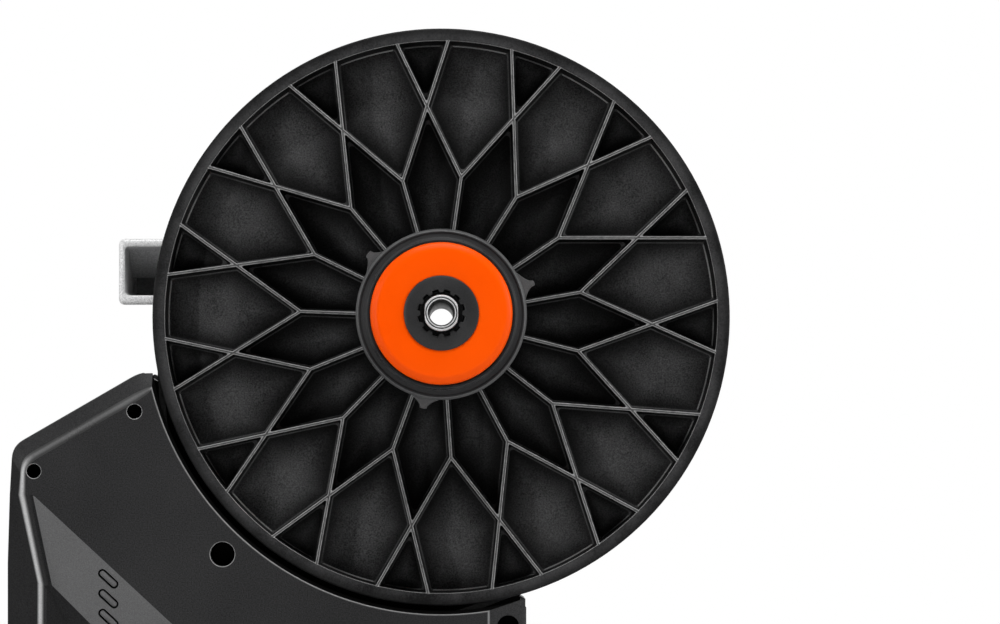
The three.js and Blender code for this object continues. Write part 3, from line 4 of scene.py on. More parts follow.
import bmesh
import bpy
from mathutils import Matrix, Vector


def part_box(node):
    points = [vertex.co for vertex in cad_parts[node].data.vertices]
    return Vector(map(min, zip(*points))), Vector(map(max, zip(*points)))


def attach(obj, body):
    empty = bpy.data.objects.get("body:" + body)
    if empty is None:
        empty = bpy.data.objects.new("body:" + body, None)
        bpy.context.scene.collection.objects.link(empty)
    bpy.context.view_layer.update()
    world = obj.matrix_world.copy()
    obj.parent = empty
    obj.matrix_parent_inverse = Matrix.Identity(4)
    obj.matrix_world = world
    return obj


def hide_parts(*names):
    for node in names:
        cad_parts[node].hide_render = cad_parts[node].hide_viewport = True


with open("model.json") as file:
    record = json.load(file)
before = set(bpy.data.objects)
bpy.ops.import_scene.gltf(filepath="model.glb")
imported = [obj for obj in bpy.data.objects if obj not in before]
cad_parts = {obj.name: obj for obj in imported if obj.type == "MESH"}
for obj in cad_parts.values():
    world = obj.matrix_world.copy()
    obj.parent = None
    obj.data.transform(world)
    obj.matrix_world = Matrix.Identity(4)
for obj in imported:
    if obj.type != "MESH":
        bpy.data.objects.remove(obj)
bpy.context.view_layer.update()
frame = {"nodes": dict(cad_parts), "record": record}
nodes = frame["nodes"]
scene = bpy.context.scene


# Camera and studio. A long lens looks square on at the drive side from below
# the axle. White paper all round, one large overhead softbox, a tall box at each
# side and a narrow strip on the casing's rear edge, which also has a painted highlight.
lens = bpy.data.cameras.new("camera")
lens.lens = 165.92
lens.sensor_width = 36
lens.clip_end = 50
camera = bpy.data.objects.new("camera", lens)
camera.location = (0.016768, -2.371, 0.2743)
camera.rotation_euler = (math.radians(91.647), 0, math.radians(-0.7295))
scene.collection.objects.link(camera)
scene.camera = camera
scene.view_settings.view_transform = "Standard"


def softbox(name, place, target, width, height, power):
    data = bpy.data.lights.new(name, "AREA")
    data.shape = "RECTANGLE"
    data.size = width
    data.size_y = height
    data.energy = power
    lamp = bpy.data.objects.new(name, data)
    lamp.location = place
    lamp.rotation_euler = (Vector(target) - Vector(place)).to_track_quat("-Z", "Y").to_euler()
    scene.collection.objects.link(lamp)


softbox("overhead_box", (0.1, -1.0, 2.5), (0, 0, 0.3), 1.8, 1.0, 47)
softbox("left_box", (-2.4, -1.1, 0.9), (0, 0, 0.3), 0.7, 1.6, 14)
softbox("right_box", (2.4, -1.1, 0.9), (0, 0, 0.3), 0.7, 1.6, 33)
softbox("edge_strip", (-1.7, -1.9, 0.5), (-0.2, 0, 0.2), 0.12, 1.4, 12)


def combined(tree, operation, first, second):
    """Two values joined by one Math node."""
    node = tree.nodes.new("ShaderNodeMath")
    node.operation = operation
    tree.links.new(first, node.inputs[0])
    tree.links.new(second, node.inputs[1])
    return node.outputs[0]


def ranged(tree, value, limits, smooth=False):
    """A value mapped from the first two limits to the other two, or to 0 and 1."""
    node = tree.nodes.new("ShaderNodeMapRange")
    if smooth:
        node.interpolation_type = "SMOOTHSTEP"
    for label, limit in zip(("From Min", "From Max", "To Min", "To Max"), limits):
        node.inputs[label].default_value = limit
    tree.links.new(value, node.inputs["Value"])
    return node.outputs[0]


def mixed(tree, share, first, second):
    """Two shaders mixed by a share."""
    node = tree.nodes.new("ShaderNodeMixShader")
    for k, socket in enumerate((share, first, second)):
        tree.links.new(socket, node.inputs[k])
    return node.outputs[0]


world = bpy.data.worlds.new("paper")
scene.world = world
world.use_nodes = True
sky = world.node_tree
sky.nodes.clear()
rays = sky.nodes.new("ShaderNodeLightPath").outputs
seen = combined(sky, "MAXIMUM", rays["Is Camera Ray"], rays["Is Transmission Ray"])
# Mirrored rays see the white paper behind the object and a dim room in front of it
heading = sky.nodes.new("ShaderNodeSeparateXYZ")
sky.links.new(sky.nodes.new("ShaderNodeTexCoord").outputs["Generated"], heading.inputs[0])
behind = ranged(sky, heading.outputs["Y"], (-0.35, 0.6, 0.06))
mirrored = combined(sky, "MULTIPLY", rays["Is Glossy Ray"], behind)
paper_light = sky.nodes.new("ShaderNodeBackground")
paper_light.inputs["Strength"].default_value = 0.05
paper_seen = sky.nodes.new("ShaderNodeBackground")
paper_seen.inputs["Color"].default_value = (1, 1, 1, 1)
paper_seen.inputs["Strength"].default_value = 1
either = mixed(sky, combined(sky, "MAXIMUM", seen, mirrored),
               paper_light.outputs[0], paper_seen.outputs[0])
sky.links.new(either, sky.nodes.new("ShaderNodeOutputWorld").inputs["Surface"])


def shader_group(name, inputs, outputs):
    group = bpy.data.node_groups.new(name, "ShaderNodeTree")
    for label, kind, value in inputs:
        socket = group.interface.new_socket(label, in_out="INPUT", socket_type=kind)
        if value is not None:
            socket.default_value = value
    for label, kind in outputs:
        group.interface.new_socket(label, in_out="OUTPUT", socket_type=kind)
    return group, group.nodes.new("NodeGroupInput"), group.nodes.new("NodeGroupOutput")


def noise(tree, vector, scale, detail, roughness):
    node = tree.nodes.new("ShaderNodeTexNoise")
    node.inputs["Detail"].default_value = detail
    node.inputs["Roughness"].default_value = roughness
    tree.links.new(scale, node.inputs["Scale"])
    tree.links.new(vector, node.inputs["Vector"])
    return node.outputs["Fac"]


def scaled(tree, value, amount, base):
    """base + (value - 0.5) * amount."""
    node = tree.nodes.new("ShaderNodeMath")
    node.operation = "MULTIPLY_ADD"
    centred = tree.nodes.new("ShaderNodeMath")
    centred.operation = "SUBTRACT"
    centred.inputs[1].default_value = 0.5
    tree.links.new(value, centred.inputs[0])
    tree.links.new(centred.outputs[0], node.inputs[0])
    tree.links.new(amount, node.inputs[1])
    if isinstance(base, float):
        node.inputs[2].default_value = base
    else:
        tree.links.new(base, node.inputs[2])
    return node.outputs[0]


# Moulded or cast skin: sand-like grain over broad cloudiness, with the relief of the grain
skin_group, skin_in, skin_out = shader_group("grained_skin", [
    ("Vector", "NodeSocketVector", None),
    ("Grain", "NodeSocketFloat", 1500.0),
    ("Grain Amount", "NodeSocketFloat", 2.0),
    ("Cloud", "NodeSocketFloat", 30.0),
    ("Cloud Amount", "NodeSocketFloat", 1.0),
    ("Relief", "NodeSocketFloat", 0.3),
], [
    ("Tint", "NodeSocketFloat"), ("Cloud", "NodeSocketFloat"), ("Normal", "NodeSocketVector"),
])
grain = noise(skin_group, skin_in.outputs["Vector"], skin_in.outputs["Grain"], 2.0, 0.6)
cloud = noise(skin_group, skin_in.outputs["Vector"], skin_in.outputs["Cloud"], 4.0, 0.55)
clouded = scaled(skin_group, cloud, skin_in.outputs["Cloud Amount"], 0.5)
tinted = scaled(skin_group, grain, skin_in.outputs["Grain Amount"], clouded)
relief = skin_group.nodes.new("ShaderNodeBump")
relief.inputs["Distance"].default_value = 0.0002
skin_group.links.new(skin_in.outputs["Relief"], relief.inputs["Strength"])
skin_group.links.new(grain, relief.inputs["Height"])
skin_group.links.new(tinted, skin_out.inputs["Tint"])
skin_group.links.new(cloud, skin_out.inputs["Cloud"])
skin_group.links.new(relief.outputs["Normal"], skin_out.inputs["Normal"])


def grained(name, dark, light, roughness, grain=1500.0, cloud=30.0, relief=0.3, amounts=(1.6, 1.0),
            metallic=0.0, specular=0.3, stretch=None, source="Object", painted_shading=None):
    """Skin between two colours; the last argument gives the limits by which the UV map's level dims it,
    to paint light and shade.
    """
    material = bpy.data.materials.new(name)
    material.use_nodes = True
    tree = material.node_tree
    shade = tree.nodes["Principled BSDF"]
    coordinates = tree.nodes.new("ShaderNodeTexCoord").outputs
    place = coordinates[source]
    if stretch:
        mapping = tree.nodes.new("ShaderNodeMapping")
        mapping.inputs["Scale"].default_value = stretch
        tree.links.new(place, mapping.inputs["Vector"])
        place = mapping.outputs["Vector"]
    skin = tree.nodes.new("ShaderNodeGroup")
    skin.node_tree = skin_group
    skin.inputs["Grain"].default_value = grain
    skin.inputs["Grain Amount"].default_value = amounts[0]
    skin.inputs["Cloud"].default_value = cloud
    skin.inputs["Cloud Amount"].default_value = amounts[1]
    skin.inputs["Relief"].default_value = relief
    tree.links.new(place, skin.inputs["Vector"])
    tint = tree.nodes.new("ShaderNodeMix")
    tint.data_type = "RGBA"
    tint.inputs["A"].default_value = (*dark, 1)
    tint.inputs["B"].default_value = (*light, 1)
    tree.links.new(skin.outputs["Tint"], tint.inputs["Factor"])
    tone = tint.outputs["Result"]
    if painted_shading:
        run_and_level = tree.nodes.new("ShaderNodeSeparateXYZ")
        tree.links.new(coordinates["UV"], run_and_level.inputs[0])
        dimmed = tree.nodes.new("ShaderNodeVectorMath")
        dimmed.operation = "SCALE"
        tree.links.new(tone, dimmed.inputs[0])
        tree.links.new(ranged(tree, run_and_level.outputs["Y"], painted_shading, True), dimmed.inputs["Scale"])
        tone = dimmed.outputs[0]
    tree.links.new(tone, shade.inputs["Base Color"])
    rough = ranged(tree, skin.outputs["Cloud"], (0.3, 0.7, roughness - 0.07, roughness + 0.07))
    tree.links.new(rough, shade.inputs["Roughness"])
    tree.links.new(skin.outputs["Normal"], shade.inputs["Normal"])
    shade.inputs["Metallic"].default_value = metallic
    shade.inputs["Specular IOR Level"].default_value = specular
    return material


# The paper floor turns white away from the object, for the camera alone
floor_paper = grained("studio_paper", (0.78, 0.78, 0.78), (0.84, 0.84, 0.84), 0.9, 90, 3, 0.1)
paper = floor_paper.node_tree
distance = paper.nodes.new("ShaderNodeVectorMath")
distance.operation = "LENGTH"
paper.links.new(paper.nodes["Texture Coordinate"].outputs["Object"], distance.inputs[0])
whitening = ranged(paper, distance.outputs["Value"], (0.5, 1.6), True)
camera_rays = paper.nodes.new("ShaderNodeLightPath").outputs["Is Camera Ray"]
glow = paper.nodes.new("ShaderNodeEmission")
glow.inputs["Strength"].default_value = 1
into_white = mixed(paper, combined(paper, "MULTIPLY", whitening, camera_rays),
                   paper.nodes["Principled BSDF"].outputs[0], glow.outputs[0])
paper.links.new(into_white, paper.nodes["Material Output"].inputs["Surface"])
FLOOR_RADIUS, FLOOR_SIDES = 3, 64
rim_of_floor = [(FLOOR_RADIUS * math.cos(math.tau * k / FLOOR_SIDES),
                 FLOOR_RADIUS * math.sin(math.tau * k / FLOOR_SIDES), 0) for k in range(FLOOR_SIDES)]
floor_mesh = bpy.data.meshes.new("studio_floor")
floor_mesh.from_pydata(rim_of_floor, [], [list(range(FLOOR_SIDES))])
floor_mesh.materials.append(floor_paper)
studio_floor = bpy.data.objects.new("studio_floor", floor_mesh)
scene.collection.objects.link(studio_floor)


# Drive pulley: a large belt wheel injection moulded in glass-filled nylon. A
# star of thin drafted ribs stands on a dished web between hub and rim, and the
# rim carries the belt between two flanges. It is screwed to the hub's flange.
MM = 0.001
low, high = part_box("axle")
axle = Vector(((low.x + high.x) / 2, 0, (low.z + high.z) / 2)) / MM


class Form:
    """Faces gathered by their corners, in millimetres from an origin; equal corners weld."""

    def __init__(self):
        self.points = []
        self.index = {}
        self.faces = []
        self.slots = []
        self.runs = []

    def corner(self, place):
        key = tuple(round(c, 3) for c in place)
        if key not in self.index:
            self.index[key] = len(self.points)
            self.points.append(Vector(place))
        return self.index[key]

    def face(self, places, slot=0, runs=None):
        loop = {}
        for i, place in enumerate(places):
            loop.setdefault(self.corner(place), runs[i] if runs else (0, 0))
        if len(loop) > 2:
            self.faces.append(list(loop))
            self.slots.append(slot)
            self.runs.append(list(loop.values()))

    def skin(self, rings, slots=0, levels=None):
        """Rows of quads; the UV map holds the millimetres along a ring and the ring's level."""
        levels = levels or range(len(rings))
        for near, far, low, high in zip(rings, rings[1:], levels, levels[1:]):
            count = len(near)
            run = 0.0
            for i in range(count):
                j = (i + 1) % count
                slot = slots if isinstance(slots, int) else slots[i]
                step = (Vector(near[j]) - Vector(near[i])).length
                self.face([near[i], near[j], far[j], far[i]], slot,
                          [(run, low), (run + step, low), (run + step, high), (run, high)])
                run += step

    def turn(self, profile, sides=96, slot=0, x=0.0, z=0.0):
        """Closed (radius, y) profile turned about an axis along Y; slot may list one a stretch."""
        rings = [[(x + r * math.cos(math.tau * k / sides), y, z + r * math.sin(math.tau * k / sides))
                  for k in range(sides)] for r, y in profile]
        for k, (near, far) in enumerate(zip(rings, rings[1:] + rings[:1])):
            self.skin([near, far], slot if isinstance(slot, int) else slot[k])

    def piece(self, name, origin, finishes=(), sharp=30):
        mesh = bpy.data.meshes.new(name)
        mesh.from_pydata([(p + origin) * MM for p in self.points], [], self.faces)
        mesh.polygons.foreach_set("material_index", self.slots)
        layer = mesh.uv_layers.new(name="run")
        layer.data.foreach_set("uv", [c for face in self.runs for run in face for c in run])
        shape = bmesh.new()
        shape.from_mesh(mesh)
        bmesh.ops.recalc_face_normals(shape, faces=shape.faces)
        shape.to_mesh(mesh)
        shape.free()
        mesh.shade_smooth()
        mesh.set_sharp_from_angle(angle=math.radians(sharp))
        for material in finishes:
            mesh.materials.append(material)
        piece = bpy.data.objects.new(name, mesh)
        scene.collection.objects.link(piece)
        return piece


def mounted(piece, body, slot, *replaced):
    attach(piece, body)
    if replaced:
        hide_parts(*replaced)
    return piece


def polar(radius, degrees):
    angle = math.radians(degrees)
    return Vector((radius * math.cos(angle), radius * math.sin(angle)))


FILLET_STEPS = 4


def inset_ring(cell, depth, radius, plane):
    """A cell's outline moved inwards, with its corners rounded; plane is y or a function of radius.
    A cell lists its corners, and a number stands for the steps of an arc about the axle."""
    corners = [c for c in cell if not isinstance(c, int)]
    count = len(corners)
    fillets = []
    spans = [cell[(cell.index(c) + 1) % len(cell)] for c in corners]
    for i, place in enumerate(corners):
        previous, following = corners[i - 1], corners[(i + 1) % count]
        before, after = place - previous, following - place
        round_axle = Vector((-place.y, place.x))
        if isinstance(spans[i - 1], int):
            before = round_axle * (1 if place.angle_signed(previous) > 0 else -1)
        if isinstance(spans[i], int):
            after = round_axle * (1 if place.angle_signed(following) < 0 else -1)
        before.normalize()
        after.normalize()
        n1 = Vector((-before.y, before.x))
        n2 = Vector((-after.y, after.x))
        centre = place + (n1 + n2) * ((depth + radius) / (1 + n1.dot(n2)))
        turn = math.atan2(n1.x * n2.y - n1.y * n2.x, n1.dot(n2))
        fillet = []
        for k in range(FILLET_STEPS + 1):
            angle = math.atan2(n1.y, n1.x) + turn * k / FILLET_STEPS
            fillet.append(centre - Vector((math.cos(angle), math.sin(angle))) * radius)
        fillets.append(fillet)
    ring = []
    for i, fillet in enumerate(fillets):
        ring += fillet
        if isinstance(spans[i], int):
            start, end = fillet[-1], fillets[(i + 1) % count][0]
            first = math.atan2(start.y, start.x)
            sweep = math.remainder(math.atan2(end.y, end.x) - first, math.tau)
            for k in range(1, spans[i]):
                share = k / spans[i]
                angle = first + sweep * share
                reach = start.length + (end.length - start.length) * share
                ring.append(Vector((math.cos(angle), math.sin(angle))) * reach)
    level = plane if callable(plane) else (lambda r: plane)
    return [(p.x, level(p.length), p.y) for p in ring]


# Fifteen ribs leave the hub and fork at FORK. The branches of two neighbours meet at CROSSING and
# end at the rim, SPREAD degrees from their own rib. TOP and WEB are heights along the axle.
RIM, HUB, FORK = 142.65, 38.85, 72.5
PHASE, PITCH, RIBS = 9.93, 24.0, 15
TOP, WEB = -5.0, 16.0
HUB_STEPS, KITE_STEPS, GORE_STEPS = 11, 6, 5
fork = Vector((FORK, 0))
branch_aim = polar(141.7, 17.3)
fork_run = (branch_aim - fork).normalized()
half_pitch = math.tan(math.radians(PITCH / 2))
CROSSING = (fork + fork_run * (FORK * half_pitch / (fork_run.y - fork_run.x * half_pitch))).length
rim_distance = -fork.dot(fork_run) + math.sqrt(fork.dot(fork_run) ** 2 + RIM ** 2 - FORK ** 2)
branch_end = fork + fork_run * rim_distance
SPREAD = math.degrees(math.atan2(branch_end.y, branch_end.x))
NARROW = PITCH - SPREAD
DISH_START, DISH_WIDTH, DISH_DEPTH = 40, 102, 2.6


def web_level(radius):
    """The web is dished between hub and rim."""
    share = min(max((radius - DISH_START) / DISH_WIDTH, 0), 1)
    return WEB - DISH_DEPTH * math.sin(math.pi * share)


# Slots of the wheel's faces
ON_WEB, ON_RIB, ON_RIM, ON_FILLET, ON_RIB_EDGE, ON_RIM_EDGE = range(6)
# Rings of a cell: how far inwards, corner radius, and depth under TOP or height over the web
EDGE_RINGS = ((0, 0, 0), (0.33, 0.3, 0), (0.64, 0.45, 0.15), (0.78, 0.6, 0.55))
FOOT_RINGS = ((1.45, 1.2, 1.3), (2.1, 1.5, 0.5), (3.0, 1.5, 0))
FLOOR_SHARES = (0.3, 0.6, 0.85)
wheel = Form()
for k in range(RIBS):
    angle = PHASE + PITCH * k
    hub_cell = [polar(HUB, angle), polar(FORK, angle), polar(CROSSING, angle + PITCH / 2),
                polar(FORK, angle + PITCH), polar(HUB, angle + PITCH), HUB_STEPS]
    kite = [polar(FORK, angle), polar(CROSSING, angle - PITCH / 2), polar(RIM, angle - NARROW),
            KITE_STEPS, polar(RIM, angle + NARROW), polar(CROSSING, angle + PITCH / 2)]
    gore = [polar(CROSSING, angle + PITCH / 2), polar(RIM, angle + NARROW), GORE_STEPS,
            polar(RIM, angle + SPREAD)]
    # Painted shade: a cell's wall and the web beside it are dark, and the web gets lighter away from
    # the walls, up to the given level in the middle
    for cell, lightest in ((hub_cell, 2.4), (kite, 4.0), (gore, 2.1)):
        tops = []
        for entry in cell:
            if isinstance(entry, int):
                tops[-1] = ON_RIM
                tops += [ON_RIM] * (entry - 1)
            else:
                tops += [ON_RIB] * (FILLET_STEPS + 1)
        rings = [inset_ring(cell, depth, radius, TOP + drop) for depth, radius, drop in EDGE_RINGS]
        wheel.skin(rings[:2], tops)
        wheel.skin(rings[1:3], [ON_FILLET if top == ON_RIM else ON_RIB_EDGE for top in tops])
        wheel.skin(rings[2:], [ON_RIM_EDGE if top == ON_RIM else ON_RIB_EDGE for top in tops])
        walls = [rings[-1]]
        for depth, radius, height in FOOT_RINGS:
            walls.append(inset_ring(cell, depth, radius, lambda r: web_level(r) - height))
        wheel.skin(walls[:2], ON_WEB, [-1, 0])
        wheel.skin(walls[1:3], [ON_RIM_EDGE if top == ON_RIM else ON_FILLET for top in tops])
        wheel.skin(walls[2:], ON_WEB, [0, 0])
        foot = [Vector((x, z)) for x, y, z in walls[-1]]
        middle = sum(foot, Vector((0, 0))) / len(foot)
        floor = [walls[-1]]
        for share in FLOOR_SHARES:
            spots = [spot.lerp(middle, share) for spot in foot]
            floor.append([(spot.x, web_level(spot.length), spot.y) for spot in spots])
        wheel.skin(floor, ON_WEB, [lightest * share for share in (0, *FLOOR_SHARES)])
        centre = (middle.x, web_level(middle.length), middle.y)
        last = floor[-1]
        last_run = (0, lightest * FLOOR_SHARES[-1])
        for i, place in enumerate(last):
            wheel.face([place, last[(i + 1) % len(last)], centre], ON_WEB,
                       [last_run, last_run, (0, lightest)])

# The rings of rim and hub have the same points as the cells' arcs
steps = [0, NARROW / 3, 2 * NARROW / 3, NARROW]
steps += [NARROW + (PITCH - 2 * NARROW) * i / GORE_STEPS for i in range(1, GORE_STEPS + 1)]
steps += [SPREAD + NARROW / 3, SPREAD + 2 * NARROW / 3]
rim_angles = [PHASE + PITCH * k + step for k in range(RIBS) for step in steps]
hub_angles = [PHASE + PITCH * k / HUB_STEPS for k in range(RIBS * HUB_STEPS)]


def circle(radius, plane, angles):
    return [(radius * math.cos(math.radians(a)), plane, radius * math.sin(math.radians(a)))
            for a in angles]


rim_rings = [circle(r, y, rim_angles) for r, y in (
    (RIM, TOP), (147.3, TOP), (147.9, TOP + 0.2), (148.3, TOP + 0.7), (148.3, -1.9), (147.8, -1.4),
    (144.4, -1.4), (144, -1.0), (144, 17.0), (144.4, 17.4), (147.8, 17.4), (148.3, 17.9),
    (148.3, 20.5), (147.8, 21), (126, 19.2), (104, 18), (72, 19.2), (40, 21))]
wheel.skin(rim_rings, ON_RIM, [0, 0.9, 1, 1.1] + [1.2] * (len(rim_rings) - 4))
hub_rings = [rim_rings[-1]] + [circle(r, y, hub_angles) for r, y in (
    (25, 21), (24.3, 20.4), (24.3, 4.3), (34.3, 4.3), (34.3, -0.3), (24.3, -0.3), (24.3, -13.4),
    (24.9, -14), (37.9, -14), (38.6, -13.7), (HUB, -13), (HUB, TOP))]
wheel.skin(hub_rings, ON_RIM, [1.2] * len(hub_rings))

# Painted shade: the web's colour dims by its UV level, dark at the cells' walls and lighter in their
# middles
web_black = grained("nylon_web", (0.006, 0.006, 0.0062), (0.075, 0.075, 0.076), 0.6, 1300, 40, 0.5,
                    (1.5, 0.8), specular=0.08, painted_shading=(-0.2, 3.4, 0.12, 2.7))
rib_grey = grained("nylon_rib_tops", (0.018, 0.018, 0.0185), (0.11, 0.11, 0.11), 0.5, 1.0, 0.12, 0.3,
                   (3.0, 0.8), specular=0.2, stretch=(0.35, 4.0, 1), source="UV")
# Painted highlight: the rounded edges of the ribs are much lighter than their tops
rib_edge_highlight = grained("nylon_rib_edge_highlights", (0.08, 0.08, 0.081), (0.42, 0.42, 0.42), 0.45, 1.0, 0.12, 0.3,
                   (3.0, 0.8), specular=0.3, stretch=(0.35, 3.0, 1), source="UV")
# Painted highlight and shade: the rim's front band is lighter at its inner edge and dims outwards by
# its UV level, and the rest of rim and hub stays at the dim end
rim_black = grained("nylon_rim", (0.006, 0.006, 0.0063), (0.05, 0.05, 0.051), 0.5, 1300, 34, 0.3,
                    (1.2, 2.6), specular=0.12, painted_shading=(0, 1.1, 1.15, 0.3))
# Painted highlight: light lines in the rounding under the rim's edge and along the ribs' feet
fillet_grey = grained("nylon_fillet_highlight", (0.03, 0.03, 0.0305), (0.13, 0.13, 0.131), 0.5, 1400, 60, 0.3,
                      (1.6, 1.0), specular=0.2)
# Painted highlight: brighter lines at the rim's inner edge and at the foot of the rim's wall
rim_fillet = grained("nylon_rim_fillet_highlight", (0.16, 0.16, 0.161), (0.5, 0.5, 0.501), 0.45, 1400, 60, 0.3,
                     (1.6, 1.0), specular=0.3)
pulley = wheel.piece("drive_pulley_ribbed", axle,
                     [web_black, rib_grey, rim_black, fillet_grey, rib_edge_highlight, rim_fillet], 40)
# Painted shade: the webs of the wide outer cells are painted lighter than those near the hub, as they
# lie less in the shade of their walls
LIGHT_START, LIGHT_WIDTH = 98, 38
levels = pulley.data.uv_layers["run"].data
for polygon in pulley.data.polygons:
    for loop in polygon.loop_indices if polygon.material_index == ON_WEB else ():
        place = pulley.data.vertices[pulley.data.loops[loop].vertex_index].co / MM - axle
        outward = (math.hypot(place.x, place.z) - LIGHT_START) / LIGHT_WIDTH
        levels[loop].uv.y += 0.15 + 0.75 * min(max(outward, 0), 1)
mounted(pulley, "pulley_body", "black_plastic", "drive_pulley")


# Axle line: a turned steel axle with stepped shoulders, and end caps pressed on
# it. The cap on the drive side has a rolled lip round the see-through bore.
def turned_metal(name, dark, light, roughness, relief=0.15, metallic=1.0):
    """Bare metal with the fine rings of a lathe tool, stretched along Y."""
    return grained(name, dark, light, roughness, 900, 60, relief, (0.6, 0.8), metallic, 0.5, (1, 6, 1))


steel = turned_metal("turned_steel", (0.42, 0.42, 0.43), (0.62, 0.62, 0.63), 0.2, 0.0)
bore_steel = turned_metal("bore_steel", (0.1, 0.1, 0.102), (0.22, 0.22, 0.222), 0.4, 0.1)
dark_steel = turned_metal("blackened_steel", (0.035, 0.035, 0.037), (0.09, 0.09, 0.092), 0.42)
aluminium = turned_metal("machined_aluminium", (0.55, 0.56, 0.58), (0.75, 0.76, 0.78), 0.32)


def rounded(profile, radius, steps=3):
    """Closed (radius, y) profile with every corner rounded as far as its sides allow."""
    result = []
    count = len(profile)
    for i, place in enumerate(profile):
        here = Vector(place)
        before = Vector(profile[i - 1]) - here
        after = Vector(profile[(i + 1) % count]) - here
        reach = min(radius, before.length * 0.45, after.length * 0.45)
        start = here + before.normalized() * reach
        end = here + after.normalized() * reach
        for k in range(steps + 1):
            share = k / steps
            result.append(tuple(start.lerp(here, share).lerp(here.lerp(end, share), share)))
    return result


bright_steel = turned_metal("highlighted_lip", (0.42, 0.42, 0.425), (0.8, 0.8, 0.805), 0.38, 0.0, 0.25)
cap = Form()
lip_profile = rounded([(6.1, -61.3), (6.1, -68.9), (6.75, -70.1), (6.85, -70.9), (7.4, -70.9),
                       (7.5, -69.9), (7.95, -69.9), (8.05, -70.95), (8.75, -70.9), (9.15, -70.2),
                       (9.15, -57.5), (7.8, -57.5), (7.8, -61.3)], 0.3)
# The front of the lip's two rings is a lighter steel: polished metal, and also painted highlight for
# the light the rings catch
lip_slots = []
for (r, y), (r2, y2) in zip(lip_profile, lip_profile[1:] + lip_profile[:1]):
    middle = (r + r2) / 2
    highlighted = max(y, y2) < -70.2 and (6.8 < middle < 7.45 or middle > 8.0)
    lip_slots.append(1 if highlighted else 0)
cap.turn(lip_profile, 120, lip_slots)
# Two spanner flats at the sides
FLAT, FLAT_SHARE = 8.0, 0.35
for place in cap.points:
    if abs(place.x) > FLAT:
        place.x = math.copysign(FLAT + (abs(place.x) - FLAT) * FLAT_SHARE, place.x)
cap_drive = cap.piece("end_cap_drive", axle, [bore_steel, bright_steel])
mounted(cap_drive, "root", "steel", "axle_end_cap_drive")
cap = Form()
cap.turn(rounded([(7.1, 70.9), (10.5, 70.9), (10.5, 60.2), (7.8, 60.2), (7.8, 61.3), (6.1, 61.3),
                  (6.1, 69.4), (6.6, 69.4)], 0.4), 96)
cap_far = cap.piece("end_cap_far", axle, [steel])
mounted(cap_far, "root", "steel", "axle_end_cap_far")
shaft = Form()
shaft.turn(rounded([(6.1, -66), (7.5, -66), (7.5, 20.3), (15, 20.3), (15, 24.7), (12, 24.7), (12, 59.8),
                    (7.5, 59.8), (7.5, 66), (6.1, 66)], 0.3, 2), 72)
mounted(shaft.piece("axle_turned", axle, [bore_steel]), "root", "steel", "axle")


# Freehub and sprocket set. The black lockring has twelve rounded tool notches,
# the orange plate is injection moulded with a rolled edge, and behind it stands
# the black chain guard with its raised lip and three hooked lugs.
guard_black = grained("guard_plastic", (0.01, 0.01, 0.0105), (0.03, 0.03, 0.031), 0.46, 1800, 40, 0.15,
                      (1.2, 0.8), specular=0.2)
guard_edge = grained("guard_light_grey", (0.045, 0.045, 0.046), (0.12, 0.12, 0.121), 0.34, 1800, 40,
                     0.15, (1.2, 0.8), specular=0.6)
guard_lip = grained("guard_lip", (0.014, 0.014, 0.0145), (0.045, 0.045, 0.046), 0.3, 1800, 40, 0.1,
                    (1.2, 0.8), specular=1.0)
orange = grained("orange_plastic", (1.0, 0.078, 0.0), (1.0, 0.1, 0.0), 0.32, 2200, 25, 0.06, (0.6, 0.8),
                 specular=0.09)

# Slots of the guard's faces
ON_GUARD, ON_LIGHT_GREY, ON_LIP = range(3)
MOUTH, NOTCHES, RING_SIDES = 10.45, 12, 288
ring_angles = [360 * k / RING_SIDES for k in range(RING_SIDES)]


def notched(plane, deep):
    """Ring at the lockring's mouth: round-shouldered notches between narrow teeth."""
    ring = []
    for k, angle in enumerate(ring_angles):
        phase = (k * NOTCHES / RING_SIDES) % 1
        share = min(max((0.5 - abs(phase - 0.5) - 0.15) / 0.12, 0), 1)
        share = share * share * (3 - 2 * share)
        ring += circle(MOUTH + (deep - MOUTH) * share, plane, [angle])
    return ring


rings = [notched(-59.6, 11.75), notched(-66.2, 11.75), notched(-67.7, 11.85), notched(-68.0, 12.2)]
rings += [circle(r, y, ring_angles) for r, y in (
    (13.0, -68.1), (17.4, -67.2), (18.3, -67.0), (18.7, -66.8), (18.8, -66.5), (18.8, -66.35),
    (13.8, -66.2), (13.8, -59.6))]
lockring = Form()
lockring.skin(rings + rings[:1])
ring_black = grained("lockring_black", (0.014, 0.014, 0.0145), (0.042, 0.042, 0.043), 0.42, 1800, 40,
                     0.15, (1.2, 0.8), specular=0.25)
ring_piece = lockring.piece("lockring_notched", axle, [ring_black], 35)
mounted(ring_piece, "freehub_assembly", "guard_plastic", "lockring")

plate = Form()
plate.turn(rounded([(18.3, -66.2), (32.2, -65.9), (35.4, -64.4), (35.8, -61.4), (35.8, -59.5),
                    (33.4, -59.4), (33.0, -62.6), (23, -62.9), (23, -59.4), (18.3, -57.4)],
                   1.1, 4), 144)
plate_piece = plate.piece("orange_plate", axle, [orange], 50)
mounted(plate_piece, "freehub_assembly", "orange_plastic", "sprocket_outer_plate")

guard = Form()
guard_profile = rounded([(17.7, -50), (35.6, -50), (36.2, -51.9), (37.5, -51.9), (38.6, -49.2),
                         (40.7, -48.6), (41.3, -49.0), (42.1, -48.7), (43.2, -46.9), (43.2, -42),
                         (41.4, -42), (41.4, -45), (38.4, -47), (17.7, -47)], 0.35, 3)
